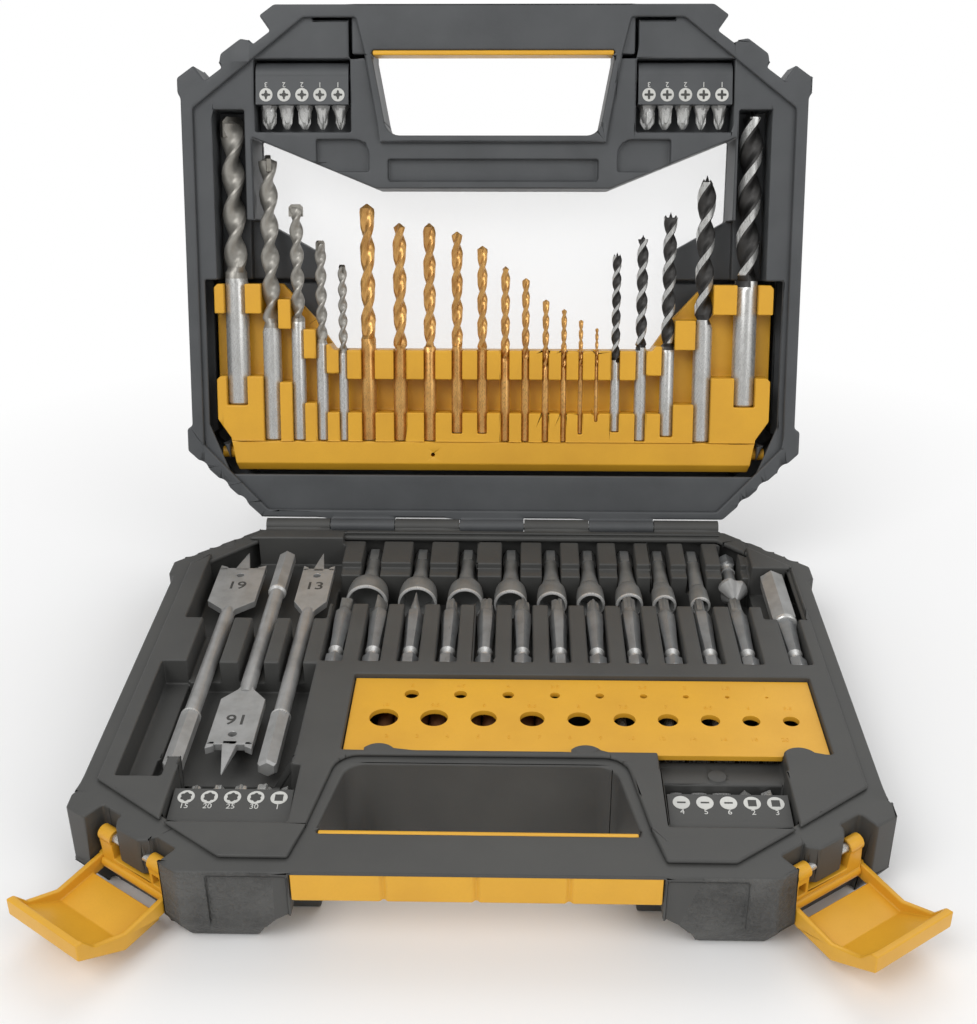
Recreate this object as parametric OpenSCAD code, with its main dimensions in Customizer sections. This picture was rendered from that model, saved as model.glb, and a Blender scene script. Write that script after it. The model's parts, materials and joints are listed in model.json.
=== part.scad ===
// Drill bit case: two hinged half shells with trays, a tilting drill rack in the lid,
// a gauge plate over a small-parts box, tilting insert-bit holders and two link latches.
// Both halves are drawn in one half frame: X across, Y = -(distance from the hinge axis),
// Z up from the parting plane. The lid is the same frame mirrored and swung open.

/* [Case] */
// Height of the base
base_h = 30; // [29:0.5:36]
// Height of the lid
lid_h = 30; // [29:0.5:36]
// Thickness of the shell walls
wall = 2.4; // [2:0.1:3]
// Width of the flat rim round the tray
rim_w = 5.5; // [5:0.1:6]
// How far the corner knobs stand out of the side walls
knob_proud = 2.2; // [1.5:0.1:3]
// Slant of the front corners, from straight across
corner_angle = 35.3; // [33:0.1:37]
// Lid opening angle, from closed
lid_open = 107.3; // [95:0.1:115]

/* [Hinge] */
// Diameter of the hinge rod
hinge_rod_d = 3; // [2.4:0.1:3.2]
// Outer diameter of the hinge knuckles
knuckle_d = 6.4; // [5.8:0.1:6.8]
// Number of hinge knuckles, base and lid together
knuckle_count = 7; // [5:2:9]

/* [Handle] */
// Width of the finger opening at the handle bar
handle_w = 100; // [92:1:104]
// Depth of the finger opening, front to back
handle_reach = 32; // [30:0.5:34]
// Thickness of the dark bar in each half
bar_h = 9; // [8:0.5:10]
// Front-to-back width of the bar, without its grip
bar_d = 16; // [14:0.5:17]
// Thickness of the grip around the bar
grip_t = 2; // [1.5:0.1:2.5]

/* [Trays] */
// Thickness of the tray decks
deck_t = 1.6; // [1.2:0.1:2]
// Wall of the moulded pockets
pocket_wall = 1.4; // [1:0.1:1.6]
// Depth of the spade bit bay
spade_bay_depth = 12; // [10:0.5:14]
// Depth of the bay for the socket heads
socket_bay_depth = 19; // [18.5:0.1:19.4]
// Depth of the small-parts box
box_depth = 19; // [17:0.5:19.4]

/* [Latches] */
// Width of the latch recess in the corner
recess_w = 34; // [33:0.5:36]
// Depth of the latch recess
recess_d = 7.5; // [7.2:0.1:8]
// Width of the catch nubs
nub_w = 16; // [14:0.5:16.5]
// Height of the catch nubs
nub_h = 14; // [13:0.5:14.5]
// Swing of the lever, from closed to open
lever_swing = 80; // [60:1:85]
// Diameter of the latch pin through the base nub
latch_pin_d = 3; // [2.5:0.1:3.2]

/* [Drill rack] */
// Thickness of the rack, front to back
rack_t = 14; // [13.5:0.1:15]
// How deep the rack front lies behind the lid rim
rack_set_back = 4; // [3.5:0.1:4.5]
// Height of the plain band at the foot of the rack
rack_foot_h = 13.2; // [12:0.1:14]
// Diameter of the rack pivot stubs
rack_pin_d = 5; // [4:0.1:5.5]
// Play around each drill in its clip
drill_play = 0.2; // [0.12:0.02:0.3]
// Rack margin beyond the outermost drills
rack_margin = 10.8; // [10:0.1:13]

/* [Gauge plate] */
// Length of the gauge plate
gauge_l = 162.8; // [158:0.1:164]
// Width of the gauge plate
gauge_w = 43.4; // [42:0.1:44]
// Thickness of the gauge plate
gauge_t = 2; // [1.5:0.1:2.1]
// Radius of the half-round tabs that hold the plate
tab_r = 6; // [5:0.1:7]

/* [Small parts] */
// Diameter of the wall plugs
plug_d = 6; // [5:0.5:6.5]
// Length of the wall plugs
plug_l = 28; // [24:1:30]
// Number of wall plugs in a layer
plug_count = 10; // [6:1:11]
// Head diameter of the screws
screw_head_d = 7; // [6:0.2:7.2]
// Length of the screws
screw_l = 29; // [24:1:30]
// Number of screws in a layer
screw_count = 8; // [5:1:8]

/* [Bits and sockets] */
// Hex drive across flats
hex_af = 6.35; // [6.2:0.01:6.5]
// Length of the power bits
power_bit_l = 50; // [48:0.5:50]
// Spacing of the power bits
power_bit_pitch = 14.1; // [13.8:0.1:14.2]
// Length of the insert bits
insert_bit_l = 25; // [24:0.5:26]
// Spacing of the insert bits
insert_bit_pitch = 7.5; // [7.4:0.05:7.6]
// Length of the spade bits
spade_l = 146; // [144:1:147]
// Length of the socket heads
socket_l = 13; // [11:0.5:13.5]
// Overall length of the sockets with their shanks
socket_total_l = 41.1; // [39:0.1:43]
// Deck strip between the power bits and the gauge plate
strip_w = 12.9; // [10:0.1:16]
// Deck between the gauge plate and the finger opening
opening_margin = 6.3; // [5:0.1:9]

/* [Running clearances] */
// Side gap between moving pieces
side_gap = 0.6; // [0.4:0.1:0.7]
// Radial clearance of pins in their bores
pin_play = 0.1; // [0.06:0.01:0.12]
// Gap between a resting piece and its seat
seat_gap = 0.25; // [0.15:0.05:0.3]

/* [Hidden] */

$fn = 48;
plastic_dark = "#4a4a48";
plastic_lid = "#505456";
plastic_yellow = "#dea83c";
steel = "#a9a8a4";
steel_dark = "#77756f";
gold = "#b07c3c";
black_oxide = "#3c3a38";

// Drills in rack order: diameter, length, gap to the next drill, seat above the common ledge
drills = [
    [10, 120, 6, 15.5], [8, 120, 4.7, 0], [6, 100, 4.7, 0], [5, 85, 4.8, 0], [4, 75, 5.6, 0],
    [6.5, 101, 7.5, 0], [6, 93, 7.1, 0], [5.5, 93, 6.6, 0], [5, 86, 6.1, 3.5], [4.5, 80, 5.7, 3.5],
    [4, 75, 5, 0], [3.5, 70, 5.4, 0], [3, 61, 5.1, 0], [2.5, 57, 5, 0], [2, 49, 5.1, 3.5],
    [1.5, 40, 5.4, 9], [4, 75, 6.4, 4.5], [5, 86, 6, 0.5], [6, 93, 8.1, 2.5], [8, 110, 9.1, 0],
    [10, 121, 0, 15.5]];
drill_count = len(drills);
function run_to(i) = i == 0 ? 0
    : run_to(i - 1) + (drills[i - 1][0] + drills[i][0]) / 2 + drills[i - 1][2];
row_w = run_to(drill_count - 1);
function drill_u(i) = run_to(i) - row_w / 2 - 1.1;

// Half widths, from the drill row outwards
rack_half = row_w / 2 + rack_margin;
rack_gap = 2.3;
side = rack_half + rack_gap + wall + 4.8;
knob_u = side + knob_proud;

// Plan outline of both halves: half width and distance from the hinge axis
hinge_half = side - 29.5;
back_v = knuckle_d / 2 + 0.4;

// Rows of the base, from the hinge forwards, which set the depth of the case
row_gap = 2.3;
socket_shank_v = back_v + 5.9;
socket_mouth_v = socket_shank_v + socket_total_l;
socket_neck_v = socket_mouth_v - socket_l - 2.2;
bit_end_v = socket_mouth_v + row_gap + power_bit_l;
gauge_v0 = bit_end_v + strip_w;
holder_grip = 15.5;
spade_back_v = back_v + 13.9;
spade_end_v = spade_back_v + spade_l;
bar_total = bar_d + 2 * grip_t;
holder_depth = 39.5;
case_d = max(gauge_v0 + gauge_w + opening_margin + handle_reach + bar_total,
    spade_end_v + 5 + insert_bit_l - holder_grip + holder_depth);
back_knob_v = back_v + 29;
back_knob_end = back_knob_v + 9.5;
front_knob_v = case_d - 37;
front_knob_end = case_d - 29;
cut_u = side - 6;
cut_v = case_d - 24;
front_u = cut_u - (case_d - cut_v) / tan(corner_angle);
half_outline = [[hinge_half, back_v], [knob_u, back_knob_v], [knob_u, back_knob_end],
    [side, back_knob_end + 1.5], [side, front_knob_v], [knob_u - 1, front_knob_v + 2],
    [knob_u - 1, front_knob_end], [cut_u, cut_v], [front_u, case_d]];

// Raised tray panel, inside the rim
panel_v0 = back_v + 4;
panel_u = side - rim_w;
opening_v = case_d - bar_total;
opening_back_v = opening_v - handle_reach;
opening_half_back = handle_w / 2 - 6;
opening_edge = 3.5;
foot_back_v = opening_v + 0.6;
panel_front = case_d - 5.7;
half_panel = [[hinge_half - 3, panel_v0], [panel_u, back_knob_v + 3], [panel_u, case_d - 41.5],
    [panel_u - 24, case_d - 22.8], [panel_u - 46.5, panel_front],
    [handle_w / 2 + 7, panel_front], [handle_w / 2 + opening_edge, opening_v],
    [opening_half_back + opening_edge, opening_back_v - opening_edge]];
flange_t = 2.2;
panel_lap = 2.3;
panel_play = 0.6;
deck_drop = flange_t;
step_h = base_h - 9;
notch_r = 4.5;
notch_depth = 1.2;
foot_set_back = 1;
lower_inset = 5;
origin_v = (back_v + case_d) / 2;

// Latch frame: centre of the recess on the slanted corner face
latch_u = cut_u - recess_w / 2 * cos(corner_angle);
latch_v = cut_v + recess_w / 2 * sin(corner_angle);
nub_face = 2.8;
latch_pin_y = 4.6;
latch_pin_z = -7.5;
link_half = 14.2;
link_ring_r = 2.6;
lever_y = 4;
lever_z = -18.5;
lever_half = recess_w / 2 - side_gap;
stub_d = 3;
ear_r = 2.8;

// Insert-bit holders
holder_w = 38.6;
holder_mid = side - 50.6;
holder_back_v = case_d - holder_depth;
tip_v = holder_back_v + holder_grip - insert_bit_l;
holder_pivot_v = case_d - 28;
holder_pivot_z = -8.5;
holder_r = 6;
holder_pin_d = 4;
holder_top = -1;
holder_pocket_depth = 15.2;
holder_end_gap = 0.8;

// Drill rack, in the lid's half frame
rack_back = rack_set_back + rack_t;
rack_base_v = back_v + 19.9;
ledge_v = rack_base_v + rack_foot_h;
rack_pivot_v = rack_base_v + 7.5;
rack_pivot_z = -(rack_set_back + rack_t / 2);
rack_plate_t = 3.5;
clip_low_v = ledge_v + 12.6;
clip_high_v = clip_low_v + 14.4;
rack_top_v = clip_high_v + 12.6;
rack_well_depth = rack_back + 6;
function drill_depth(i) = rack_set_back + 1.2 + drills[i][0] / 2;
function clip_step(i) = i <= 0 ? 28 : i == 1 ? 21.5 : i == 2 ? 8.8 : i == 3 ? 2.4
    : i == 17 ? 2 : i == 18 ? 13 : i >= 19 ? 28 : 0;

// Spade bits and their bay
spade_z = -4.5;
spade_19_u = -side + 26.5;
spade_16_u = -side + 43.6;
spade_13_u = -side + 58.4;
shank_r = 2.9;

// Sockets and power bits
socket_z = -9;
join = 0.3;
hex_corner = hex_af / 2 / cos(30);
// Sockets: head diameter, nut size across flats, place
sockets = [[17.2, 13, -50], [16, 12, -29.3], [14.8, 11, -9.8], [13.6, 10, 8.7], [12.4, 9, 25.6],
    [11.6, 8, 41.4], [11.2, 7, 57.1], [9.8, 6, 71.3], [8.2, 5, 85.9]];
socket_bore_l = 9;
countersink_u = 100.4;
countersink_v = 12.5;
countersink_d = 12.4;
bit_z = -3.6;
bit_first_u = -57;
power_bit_count = 12;
sleeve_d = 9.6;
sleeve_u = side - 14.2;
sleeve_v0 = 38;
sleeve_l = 35;

// Gauge plate and the small-parts box
gauge_u0 = side - 13.8 - gauge_l;
ledge_w = 3.6;
big_holes = [10, 9.5, 9, 8.5, 8, 7.5, 7, 6.5, 6, 5.5];
small_holes = [5, 4.5, 4, 3.5, 3, 2.5, 2, 1.5, 1];
big_hole_u = [12.1, 29.6, 46.8, 63.6, 79.9, 95.6, 110.6, 125.2, 139.3, 153];
small_hole_u = [20.8, 38.2, 55.2, 71.8, 87.7, 103.2, 118.2, 132.8, 146.8];

function unit(p) = p / norm(p);
function inward(a, b) = let (e = unit(b - a)) [-e[1], e[0]];
// A counter-clockwise outline moved inwards by d
function inset(pts, d) = let (n = len(pts)) [for (i = [0 : n - 1])
    let (a = pts[(i + n - 1) % n], b = pts[i], c = pts[(i + 1) % n],
         p = inward(a, b), q = inward(b, c)) b + d * (p + q) / (1 + p * q)];
// Both sides of a half list of (half width, distance) pairs, counter-clockwise
function both_sides(half) = let (n = len(half)) concat(
    [for (i = [0 : n - 1]) [-half[i][0], -half[i][1]]],
    [for (i = [n - 1 : -1 : 0]) [half[i][0], -half[i][1]]]);

outline = both_sides(half_outline);
panel = both_sides(half_panel);
opening = [[-opening_half_back, -opening_back_v], [-handle_w / 2, -opening_v],
    [handle_w / 2, -opening_v], [opening_half_back, -opening_back_v]];
window_half = [[side - 29.5, 131], [side - 29, 165], [49, 144]];
window = concat([[-(side - 53.5), -60], [-(side - 53.5), -117.5]],
    [for (p = window_half) [-p[0], -p[1]]], [for (i = [2 : -1 : 0]) [window_half[i][0], -window_half[i][1]]],
    [[side - 53.5, -117.5], [side - 53.5, -60]]);

// ---- frames ----
module in_base() translate([0, origin_v, base_h]) children();
module in_lid() in_base() rotate([-lid_open, 0, 0]) mirror([0, 0, 1]) children();
module at(u, v, z = 0) translate([u, -v, z]) children();
module slab(pts, z0, z1) translate([0, 0, z0]) linear_extrude(z1 - z0) polygon(pts);
module at_latch(s) at(s * latch_u, latch_v) rotate([0, 0, s * corner_angle]) children();
module along_v(v0, v1) at(0, v0) rotate([90, 0, 0]) linear_extrude(v1 - v0) children();
module across(u0, u1) translate([u0, 0, 0]) rotate([90, 0, 90]) linear_extrude(u1 - u0) children();
module rod_u(u0, u1, d) translate([u0, 0, 0]) rotate([0, 90, 0]) cylinder(d = d, h = u1 - u0);
module rod_v(v0, v1, d) at(0, v0) rotate([90, 0, 0]) cylinder(d = d, h = v1 - v0);
module cone_v(v0, v1, d0, d1) at(0, v0) rotate([90, 0, 0]) cylinder(d1 = d0, d2 = d1, h = v1 - v0);
module hex_v(v0, v1, af, turn = 0) at(0, v0) rotate([90, 0, 0]) rotate(turn)
    cylinder(d = af / cos(30), h = v1 - v0, $fn = 6);

// ---- half shells ----
module half_body(h) {
    slab(outline, -step_h, 0);
    hull() {
        slab(outline, -step_h - 0.01, -step_h);
        slab(inset(outline, lower_inset), -h, -h + 0.01);
    }
}

module opening_core(g, h) {
    grown = inset(opening, -g);
    slab(grown, -h, 1);
    // under the bar the opening runs out to the front between the feet
    if (g == 0) handle_cut(h);
}

// Space under the bar between the feet, drawn t larger all round
module foot_space(h, t) along_v(foot_back_v + wall - t, case_d + (t > 0 ? 0 : 1)) {
    half = handle_w / 2 + 6 + t;
    low = h + (t > 0 ? 0 : 1);
    polygon([[-half, -bar_h], [-half, -17 + t], [-half - 5, -20 + t], [-half - 9, -24 + t],
        [-half - 12, -low], [half + 12, -low], [half + 9, -24 + t], [half + 5, -20 + t],
        [half, -17 + t], [half, -bar_h]]);
}

module handle_cut(h) {
    half = handle_w / 2 + 6;
    foot_space(h, 0);
    translate([-handle_w / 2, -case_d, -h - 1]) cube([handle_w, bar_d + 2 * grip_t, h + 1 - bar_h]);
    // room for the grip round the bar
    translate([-handle_w / 2, -(case_d - bar_d - grip_t), -bar_h - 1])
        cube([handle_w, grip_t + 0.1, bar_h + 2]);
    translate([-half, -case_d - 1, -bar_h - 1]) cube([2 * half, 1 + grip_t, bar_h + 0.5]);
}

module latch_recess(h, g = 0) at_latch_both() translate([-recess_w / 2 - g, -9, -h - 1])
    cube([recess_w + 2 * g, 9 + recess_d + g, h + 2]);
module at_latch_both() { at_latch(-1) children(); at_latch(1) children(); }

module nubs(h) at_latch_both() difference() {
    translate([-nub_w / 2, nub_face, -nub_h]) cube([nub_w, recess_d + wall - nub_face, nub_h]);
    for (s = [-1, 1]) translate([s * nub_w / 2, nub_face, -nub_h - 1]) rotate(45)
        cube([4, 4, 2 * nub_h + 4], center = true);
}

module half_shell(h, flange_opening) {
    difference() {
        half_body(h);
        difference() {
            union() {
                slab(inset(outline, wall), -step_h + wall, -flange_t);
                slab(inset(outline, wall + lower_inset), -h + wall, -step_h + wall + 1);
                slab(flange_opening, -flange_t - 1, 1);
            }
            latch_recess(h, wall);
            opening_core(wall, h);
            foot_space(h, wall);
            bar_core();
        }
        latch_recess(h);
        opening_core(0, h);
        outer_relief(h);
    }
    nubs(h);
}

// Shallow round notches in the back corners, and the set-back panels of the feet
module outer_relief(h) {
    run = [knob_u - hinge_half, back_knob_v - back_v];
    for (s = [-1, 1], t = [0.264, 0.52, 0.79]) {
        p = [hinge_half, back_v] + t * run + unit([run[1], -run[0]]) * (notch_r - notch_depth);
        at(s * p[0], p[1], -h - 1) cylinder(r = notch_r, h = h + 2);
    }
    for (s = [-1, 1]) translate([s > 0 ? handle_w / 2 + 7 : -front_u + 9, -case_d - 1, -h - 1])
        cube([front_u - 9 - handle_w / 2 - 7, 1 + foot_set_back, h - 1]);
}

// The bar, solid between the opening and the front, and its roots at both ends
module bar_core() {
    half = handle_w / 2 + 6 + wall;
    translate([-half, -case_d, -bar_h]) cube([2 * half, case_d - foot_back_v, bar_h]);
}

module knuckles(first) {
    pitch = 2 * (hinge_half - 2) / knuckle_count;
    for (i = [first : 2 : knuckle_count - 1]) {
        u0 = -(hinge_half - 2) + i * pitch + 0.2;
        u1 = u0 + pitch - 0.4;
        difference() {
            union() {
                rod_u(u0, u1, knuckle_d);
                translate([u0, -back_v - 0.5, -knuckle_d / 2]) cube([u1 - u0, back_v + 0.5, knuckle_d / 2]);
            }
            rod_u(u0 - 1, u1 + 1, hinge_rod_d + 2 * pin_play);
        }
    }
}

module base_shell() color(plastic_dark) in_base() {
    difference() {
        half_shell(base_h, inset(panel, panel_lap));
        at_latch_both() translate([-nub_w, latch_pin_y, latch_pin_z])
            rod_u(0, 2 * nub_w, latch_pin_d + 2 * pin_play);
    }
    knuckles(0);
}

module lid_shell() color(plastic_lid) in_lid() {
    difference() {
        half_shell(lid_h, inset(panel, -panel_play));
        slab(inset(panel, -panel_play), -flange_t, 1);
        slab(window, -lid_h - 1, -lid_h + wall + 1);
    }
    knuckles(1);
}

module hinge_rod() color(steel) in_base() rod_u(-(hinge_half - 2.5), hinge_half - 2.5, hinge_rod_d);

// The grip is a channel around the outer side of the bar
module grip() {
    half = handle_w / 2 + 6 - 0.3;
    v0 = opening_v;
    difference() {
        across(-half, half) polygon([[-v0, -0.5], [-v0, -bar_h - grip_t], [-case_d, -bar_h - grip_t],
            [-case_d, -0.7], [-case_d + grip_t - 0.05, -0.7], [-case_d + grip_t - 0.05, -bar_h - 0.05],
            [-v0 - grip_t + 0.05, -bar_h - 0.05], [-v0 - grip_t + 0.05, -0.5]]);
        for (u = [-0.5, 0, 0.5]) translate([u * half, -case_d, 0]) rotate(45)
            cube([1.6, 1.6, 60], center = true);
        // the inner strip is only as wide as the opening
        for (s = [-1, 1]) translate([s * (handle_w / 2 + 4.7), -v0, 0])
            cube([10, 2 * (bar_d + grip_t), 60], center = true);
    }
}
module grip_base() color(plastic_yellow) in_base() grip();
module grip_lid() color(plastic_yellow) in_lid() grip();

// ---- trays ----
module pocket(u0, u1, v0, v1, depth, g) translate([u0 - g, -v1 - g, -depth - g])
    cube([u1 - u0 + 2 * g, v1 - v0 + 2 * g, depth + g + (g > 0 ? 0 : deck_t + 1)]);

trough_depth = 5.5;
function bit_u(i) = bit_first_u + i * power_bit_pitch;
// A slot that a hex shank lies in, on one of its flats
module shank_slot(u, v0, v1, z, g) pocket(u - hex_corner - 0.3, u + hex_corner + 0.3, v0 - 0.4,
    v1 + 0.4, -z + hex_af / 2 + seat_gap, g);
bay_u0 = -side + 13;
bay_u1 = -side + 67.7;
socket_bay_u0 = bay_u1 - 1;
socket_bay_u1 = countersink_u + 7.4;

module base_pockets(g) {
    // spade bay: blade space, three shank channels, and the wide front part
    shank_floor = shank_r + seat_gap - spade_z;
    pocket(bay_u0, bay_u1, 14, 78, spade_bay_depth, g);
    pocket(bay_u0 + 7, spade_19_u + 5.5, 77, 110, shank_floor, g);
    pocket(spade_16_u - 4.5, spade_16_u + 4.8, 77, 110, shank_floor, g);
    pocket(spade_13_u - 4.3, spade_13_u + 4.5, 77, 110, shank_floor, g);
    pocket(bay_u0 + 7, spade_13_u + 9.5, 109, spade_end_v + 0.8, spade_bay_depth, g);
    // side trough
    pocket(bay_u0 - 2, bay_u0 + 7, 108, 174.5, 9, g);
    pocket(bay_u0 + 6, bay_u0 + 13, 153, 174.5, 14, g);
    // sockets and the countersink
    pocket(socket_bay_u0, socket_bay_u1, 8.4, 41, 1.8, g);
    pocket(socket_bay_u0, socket_bay_u1, 29, 41, 4.5, g);
    pocket(socket_bay_u0, socket_bay_u1, socket_neck_v - 0.4, 67, socket_bay_depth, g);
    for (s = sockets) shank_slot(s[2], socket_shank_v, 40, socket_z, g);
    shank_slot(countersink_u, countersink_v, 40, socket_z, g);
    // power bits
    for (i = [0 : power_bit_count - 1]) shank_slot(bit_u(i), 66, bit_end_v, bit_z, g);
    // magnetic holder
    pocket(socket_bay_u1 - 1, side - 6.6, back_knob_v + 4, 76, 12, g);
    shank_slot(sleeve_u, 75, bit_end_v, bit_z, g);
    // gauge plate seat and the small-parts box below it
    pocket(gauge_u0 - 0.4, gauge_u0 + gauge_l + 0.4, gauge_v0 - 0.4, gauge_v0 + gauge_w + 0.4,
        gauge_t + 0.2 + seat_gap, g);
    pocket(gauge_u0 + ledge_w, gauge_u0 + gauge_l - ledge_w, gauge_v0 + ledge_w,
        gauge_v0 + gauge_w - ledge_w, box_depth, g);
    // gap and trough in front of the plate
    pocket(holder_mid - 20.8, holder_mid + 21, gauge_v0 + gauge_w - ledge_w - 1, tip_v, trough_depth, g);
    for (s = [-1, 1]) holder_pocket(s, g);
}

module holder_pocket(s, g) pocket(s * holder_mid - holder_w / 2 - holder_end_gap,
    s * holder_mid + holder_w / 2 + holder_end_gap, tip_v - 0.6,
    holder_pivot_v + holder_r + 0.8, holder_pocket_depth, g);

// Bosses beside each holder pocket that take its pivot stubs
module holder_bosses(g) for (s = [-1, 1], e = [-1, 1])
    at(s * holder_mid + e * (holder_w / 2 + holder_end_gap + 2), holder_pivot_v, holder_pivot_z)
        translate([-2, -5, -5]) cube([4, 10, 5 - holder_pivot_z - g]);
module holder_bores() for (s = [-1, 1]) at(s * holder_mid, holder_pivot_v, holder_pivot_z)
    rod_u(-holder_w / 2 - holder_end_gap - 2.8, holder_w / 2 + holder_end_gap + 2.8,
        holder_pin_d + 2 * pin_play);

module gauge_tabs(r) for (u = [0.075, 0.5, 0.935], e = [0, 1])
    at(gauge_u0 + u * gauge_l, gauge_v0 + e * gauge_w + (e - 0.5) * 6.4)
        cylinder(r = r, h = gauge_t + 0.2 + deck_t);

module base_tray() color(plastic_dark) in_base() {
    fit = inset(panel, panel_lap + 0.3);
    difference() {
        union() {
            slab(panel, 0, deck_t);
            intersection() {
                union() {
                    base_pockets(pocket_wall);
                    holder_bosses(0);
                }
                slab(fit, -base_h + wall + 0.4, deck_t);
            }
        }
        base_pockets(0);
        holder_bores();
    }
    at(holder_mid - 1.2, tip_v - 4.5, -trough_depth) cylinder(d = 6, h = 0.8);
    // tabs reach over the seat from the deck
    intersection() {
        translate([0, 0, -gauge_t - 0.2]) gauge_tabs(tab_r);
        slab([[gauge_u0 - 0.3, -gauge_v0 + 0.5], [gauge_u0 - 0.3, -gauge_v0 - gauge_w - 0.5],
            [gauge_u0 + gauge_l + 0.3, -gauge_v0 - gauge_w - 0.5],
            [gauge_u0 + gauge_l + 0.3, -gauge_v0 + 0.5]], -gauge_t - 0.2, deck_t);
    }
}

module lid_pockets(g) {
    rack_well = [[-rack_half - rack_gap, -106], [-rack_half - rack_gap, -44],
        [-rack_half + 6.5, -(rack_base_v - 1.3)], [rack_half - 6.5, -(rack_base_v - 1.3)],
        [rack_half + rack_gap, -44], [rack_half + rack_gap, -106]];
    slab(inset(rack_well, -g), -rack_well_depth - g, g > 0 ? -deck_drop : 1);
    // outermost drills
    lid_pocket(-side + 12.5, -side + 26, 105, 176, 17, g);
    lid_pocket(side - 28, side - 14.5, 105, 176, 17, g);
    lid_pocket(-side + 25, -side + 54, 104, 131, rack_well_depth - 3, g);
    lid_pocket(side - 54, side - 27, 104, 131, rack_well_depth - 3, g);
    slab(inset(window, -g), -lid_h + wall + 1.6 - (g > 0 ? 0 : 3), g > 0 ? -deck_drop : 1);
    // stepped panels above the window
    lid_pocket(-74, -52, 151, 164, 5, g);
    lid_pocket(52, 74, 151, 164, 5, g);
    lid_pocket(-44, 44, 147.5, 156, 5, g);
    for (s = [-1, 1]) lid_pocket(s * holder_mid - holder_w / 2 - holder_end_gap,
        s * holder_mid + holder_w / 2 + holder_end_gap, tip_v - 1.5,
        holder_pivot_v + holder_r + 0.8, holder_pocket_depth, g);
}
module lid_pocket(u0, u1, v0, v1, depth, g) translate([u0 - g, -v1 - g, -depth - g])
    cube([u1 - u0 + 2 * g, v1 - v0 + 2 * g, depth + g + (g > 0 ? -deck_drop : 1)]);

module rack_ears(g) for (s = [-1, 1]) at(s * (rack_half - 3.5), rack_pivot_v, 0)
    translate([-2, -4.6, -rack_well_depth - g]) cube([4, 9.2, rack_well_depth - 6.5 + g]);

module lid_liner() color(plastic_lid) in_lid() {
    fit = inset(outline, wall + 0.3);
    difference() {
        union() {
            slab(fit, -deck_drop - deck_t, -deck_drop);
            intersection() {
                union() {
                    lid_pockets(pocket_wall);
                    holder_bosses(deck_drop);
                }
                union() {
                    slab(fit, -step_h + wall + 0.3, -deck_drop);
                    slab(inset(outline, wall + lower_inset + 0.3), -lid_h + wall + 1.5, -deck_drop);
                }
            }
        }
        difference() {
            lid_pockets(0);
            rack_ears(0.5);
        }
        holder_bores();
        at(0, rack_pivot_v, rack_pivot_z) rod_u(-rack_half, rack_half, rack_pin_d + 2 * pin_play);
        latch_recess(lid_h, wall + 0.3);
        opening_core(wall + 0.3, lid_h + 1);
        liner_front_cut();
    }
}

// The liner stops behind the handle bar and its roots
module liner_front_cut() {
    half = handle_w / 2 + 7 + wall + 0.3;
    slab([[-half - 15, -(case_d - 6)], [-half - 15, -(case_d + 1)], [half + 15, -(case_d + 1)],
        [half + 15, -(case_d - 6)]], -lid_h, 1);
    slab([[-half, -(opening_v - 1)], [-half, -(case_d + 1)], [half, -(case_d + 1)],
        [half, -(opening_v - 1)]], -lid_h, 1);
}

module lid_window() color([0.9, 0.92, 0.93, 0.4]) in_lid()
    slab(inset(window, -2.5), -lid_h + wall + 0.05, -lid_h + wall + 1.4);

// ---- drill rack ----
module clip_pad(i, v0, v1) {
    // pads fill the space between drill i and drill i + 1, or out to the rack's edge
    u0 = i < 0 ? -rack_half + 1 : drill_u(i) - 0.01;
    u1 = i == drill_count - 1 ? rack_half - 1 : drill_u(i + 1) + 0.01;
    c = 1.5;
    translate([0, 0, -rack_back + rack_plate_t - 0.01]) linear_extrude(rack_t - rack_plate_t)
        polygon([[u0, -v0], [u1, -v0], [u1, -v1 + c], [u1 - c, -v1], [u0 + c, -v1], [u0, -v1 + c]]);
}

rack_outline = both_sides([[rack_half - 9, rack_base_v], [rack_half - 6.5, rack_base_v + 14.5],
    [rack_half, rack_base_v + 24], [rack_half, rack_top_v + 28], [rack_half - 29, rack_top_v + 28],
    [rack_half - 43, rack_top_v + 13], [rack_half - 52, rack_top_v]]);

module rack_body() {
    lo = rack_base_v;
    slab(rack_outline, -rack_back, -rack_back + rack_plate_t);
    intersection() {
        slab(rack_outline, -rack_back, -rack_set_back);
        union() {
            // foot band, with its lower front edge cut back for the tilt
            across(-rack_half, rack_half) polygon([[-lo, -rack_back], [-ledge_v, -rack_back],
                [-ledge_v, -rack_set_back], [-lo - 3.5, -rack_set_back], [-lo, -rack_set_back - 3.5]]);
            for (i = [-1 : drill_count - 1]) {
                low = i < 1 || i >= 19 ? 15.5 : i == 1 ? 13 : i == 2 || i == 18 ? 4 : 0;
                clip_pad(i, ledge_v - 0.01, clip_low_v + low);
                clip_pad(i, clip_high_v + clip_step(i), rack_top_v + clip_step(i));
            }
        }
    }
}

module drill_rack() color(plastic_yellow) in_lid() {
    difference() {
        rack_body();
        for (i = [0 : drill_count - 1]) {
            r = drills[i][0] / 2;
            at(drill_u(i), 0, -drill_depth(i)) {
                rod_v(ledge_v + drills[i][3], 140, 2 * (r + drill_play));
                translate([-r * 0.9, -140, 0]) cube([r * 1.8, 140 - ledge_v - drills[i][3], 20]);
            }
        }
        at(-25.8, rack_pivot_v, -rack_back - 1) cylinder(d = 1.8, h = rack_t + 2);
    }
    at(0, rack_pivot_v, rack_pivot_z) for (s = [-1, 1])
        translate([s > 0 ? rack_half - 8.5 : -rack_half + 1.8, 0, 0]) rod_u(0, 6.7, rack_pin_d);
}

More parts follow.
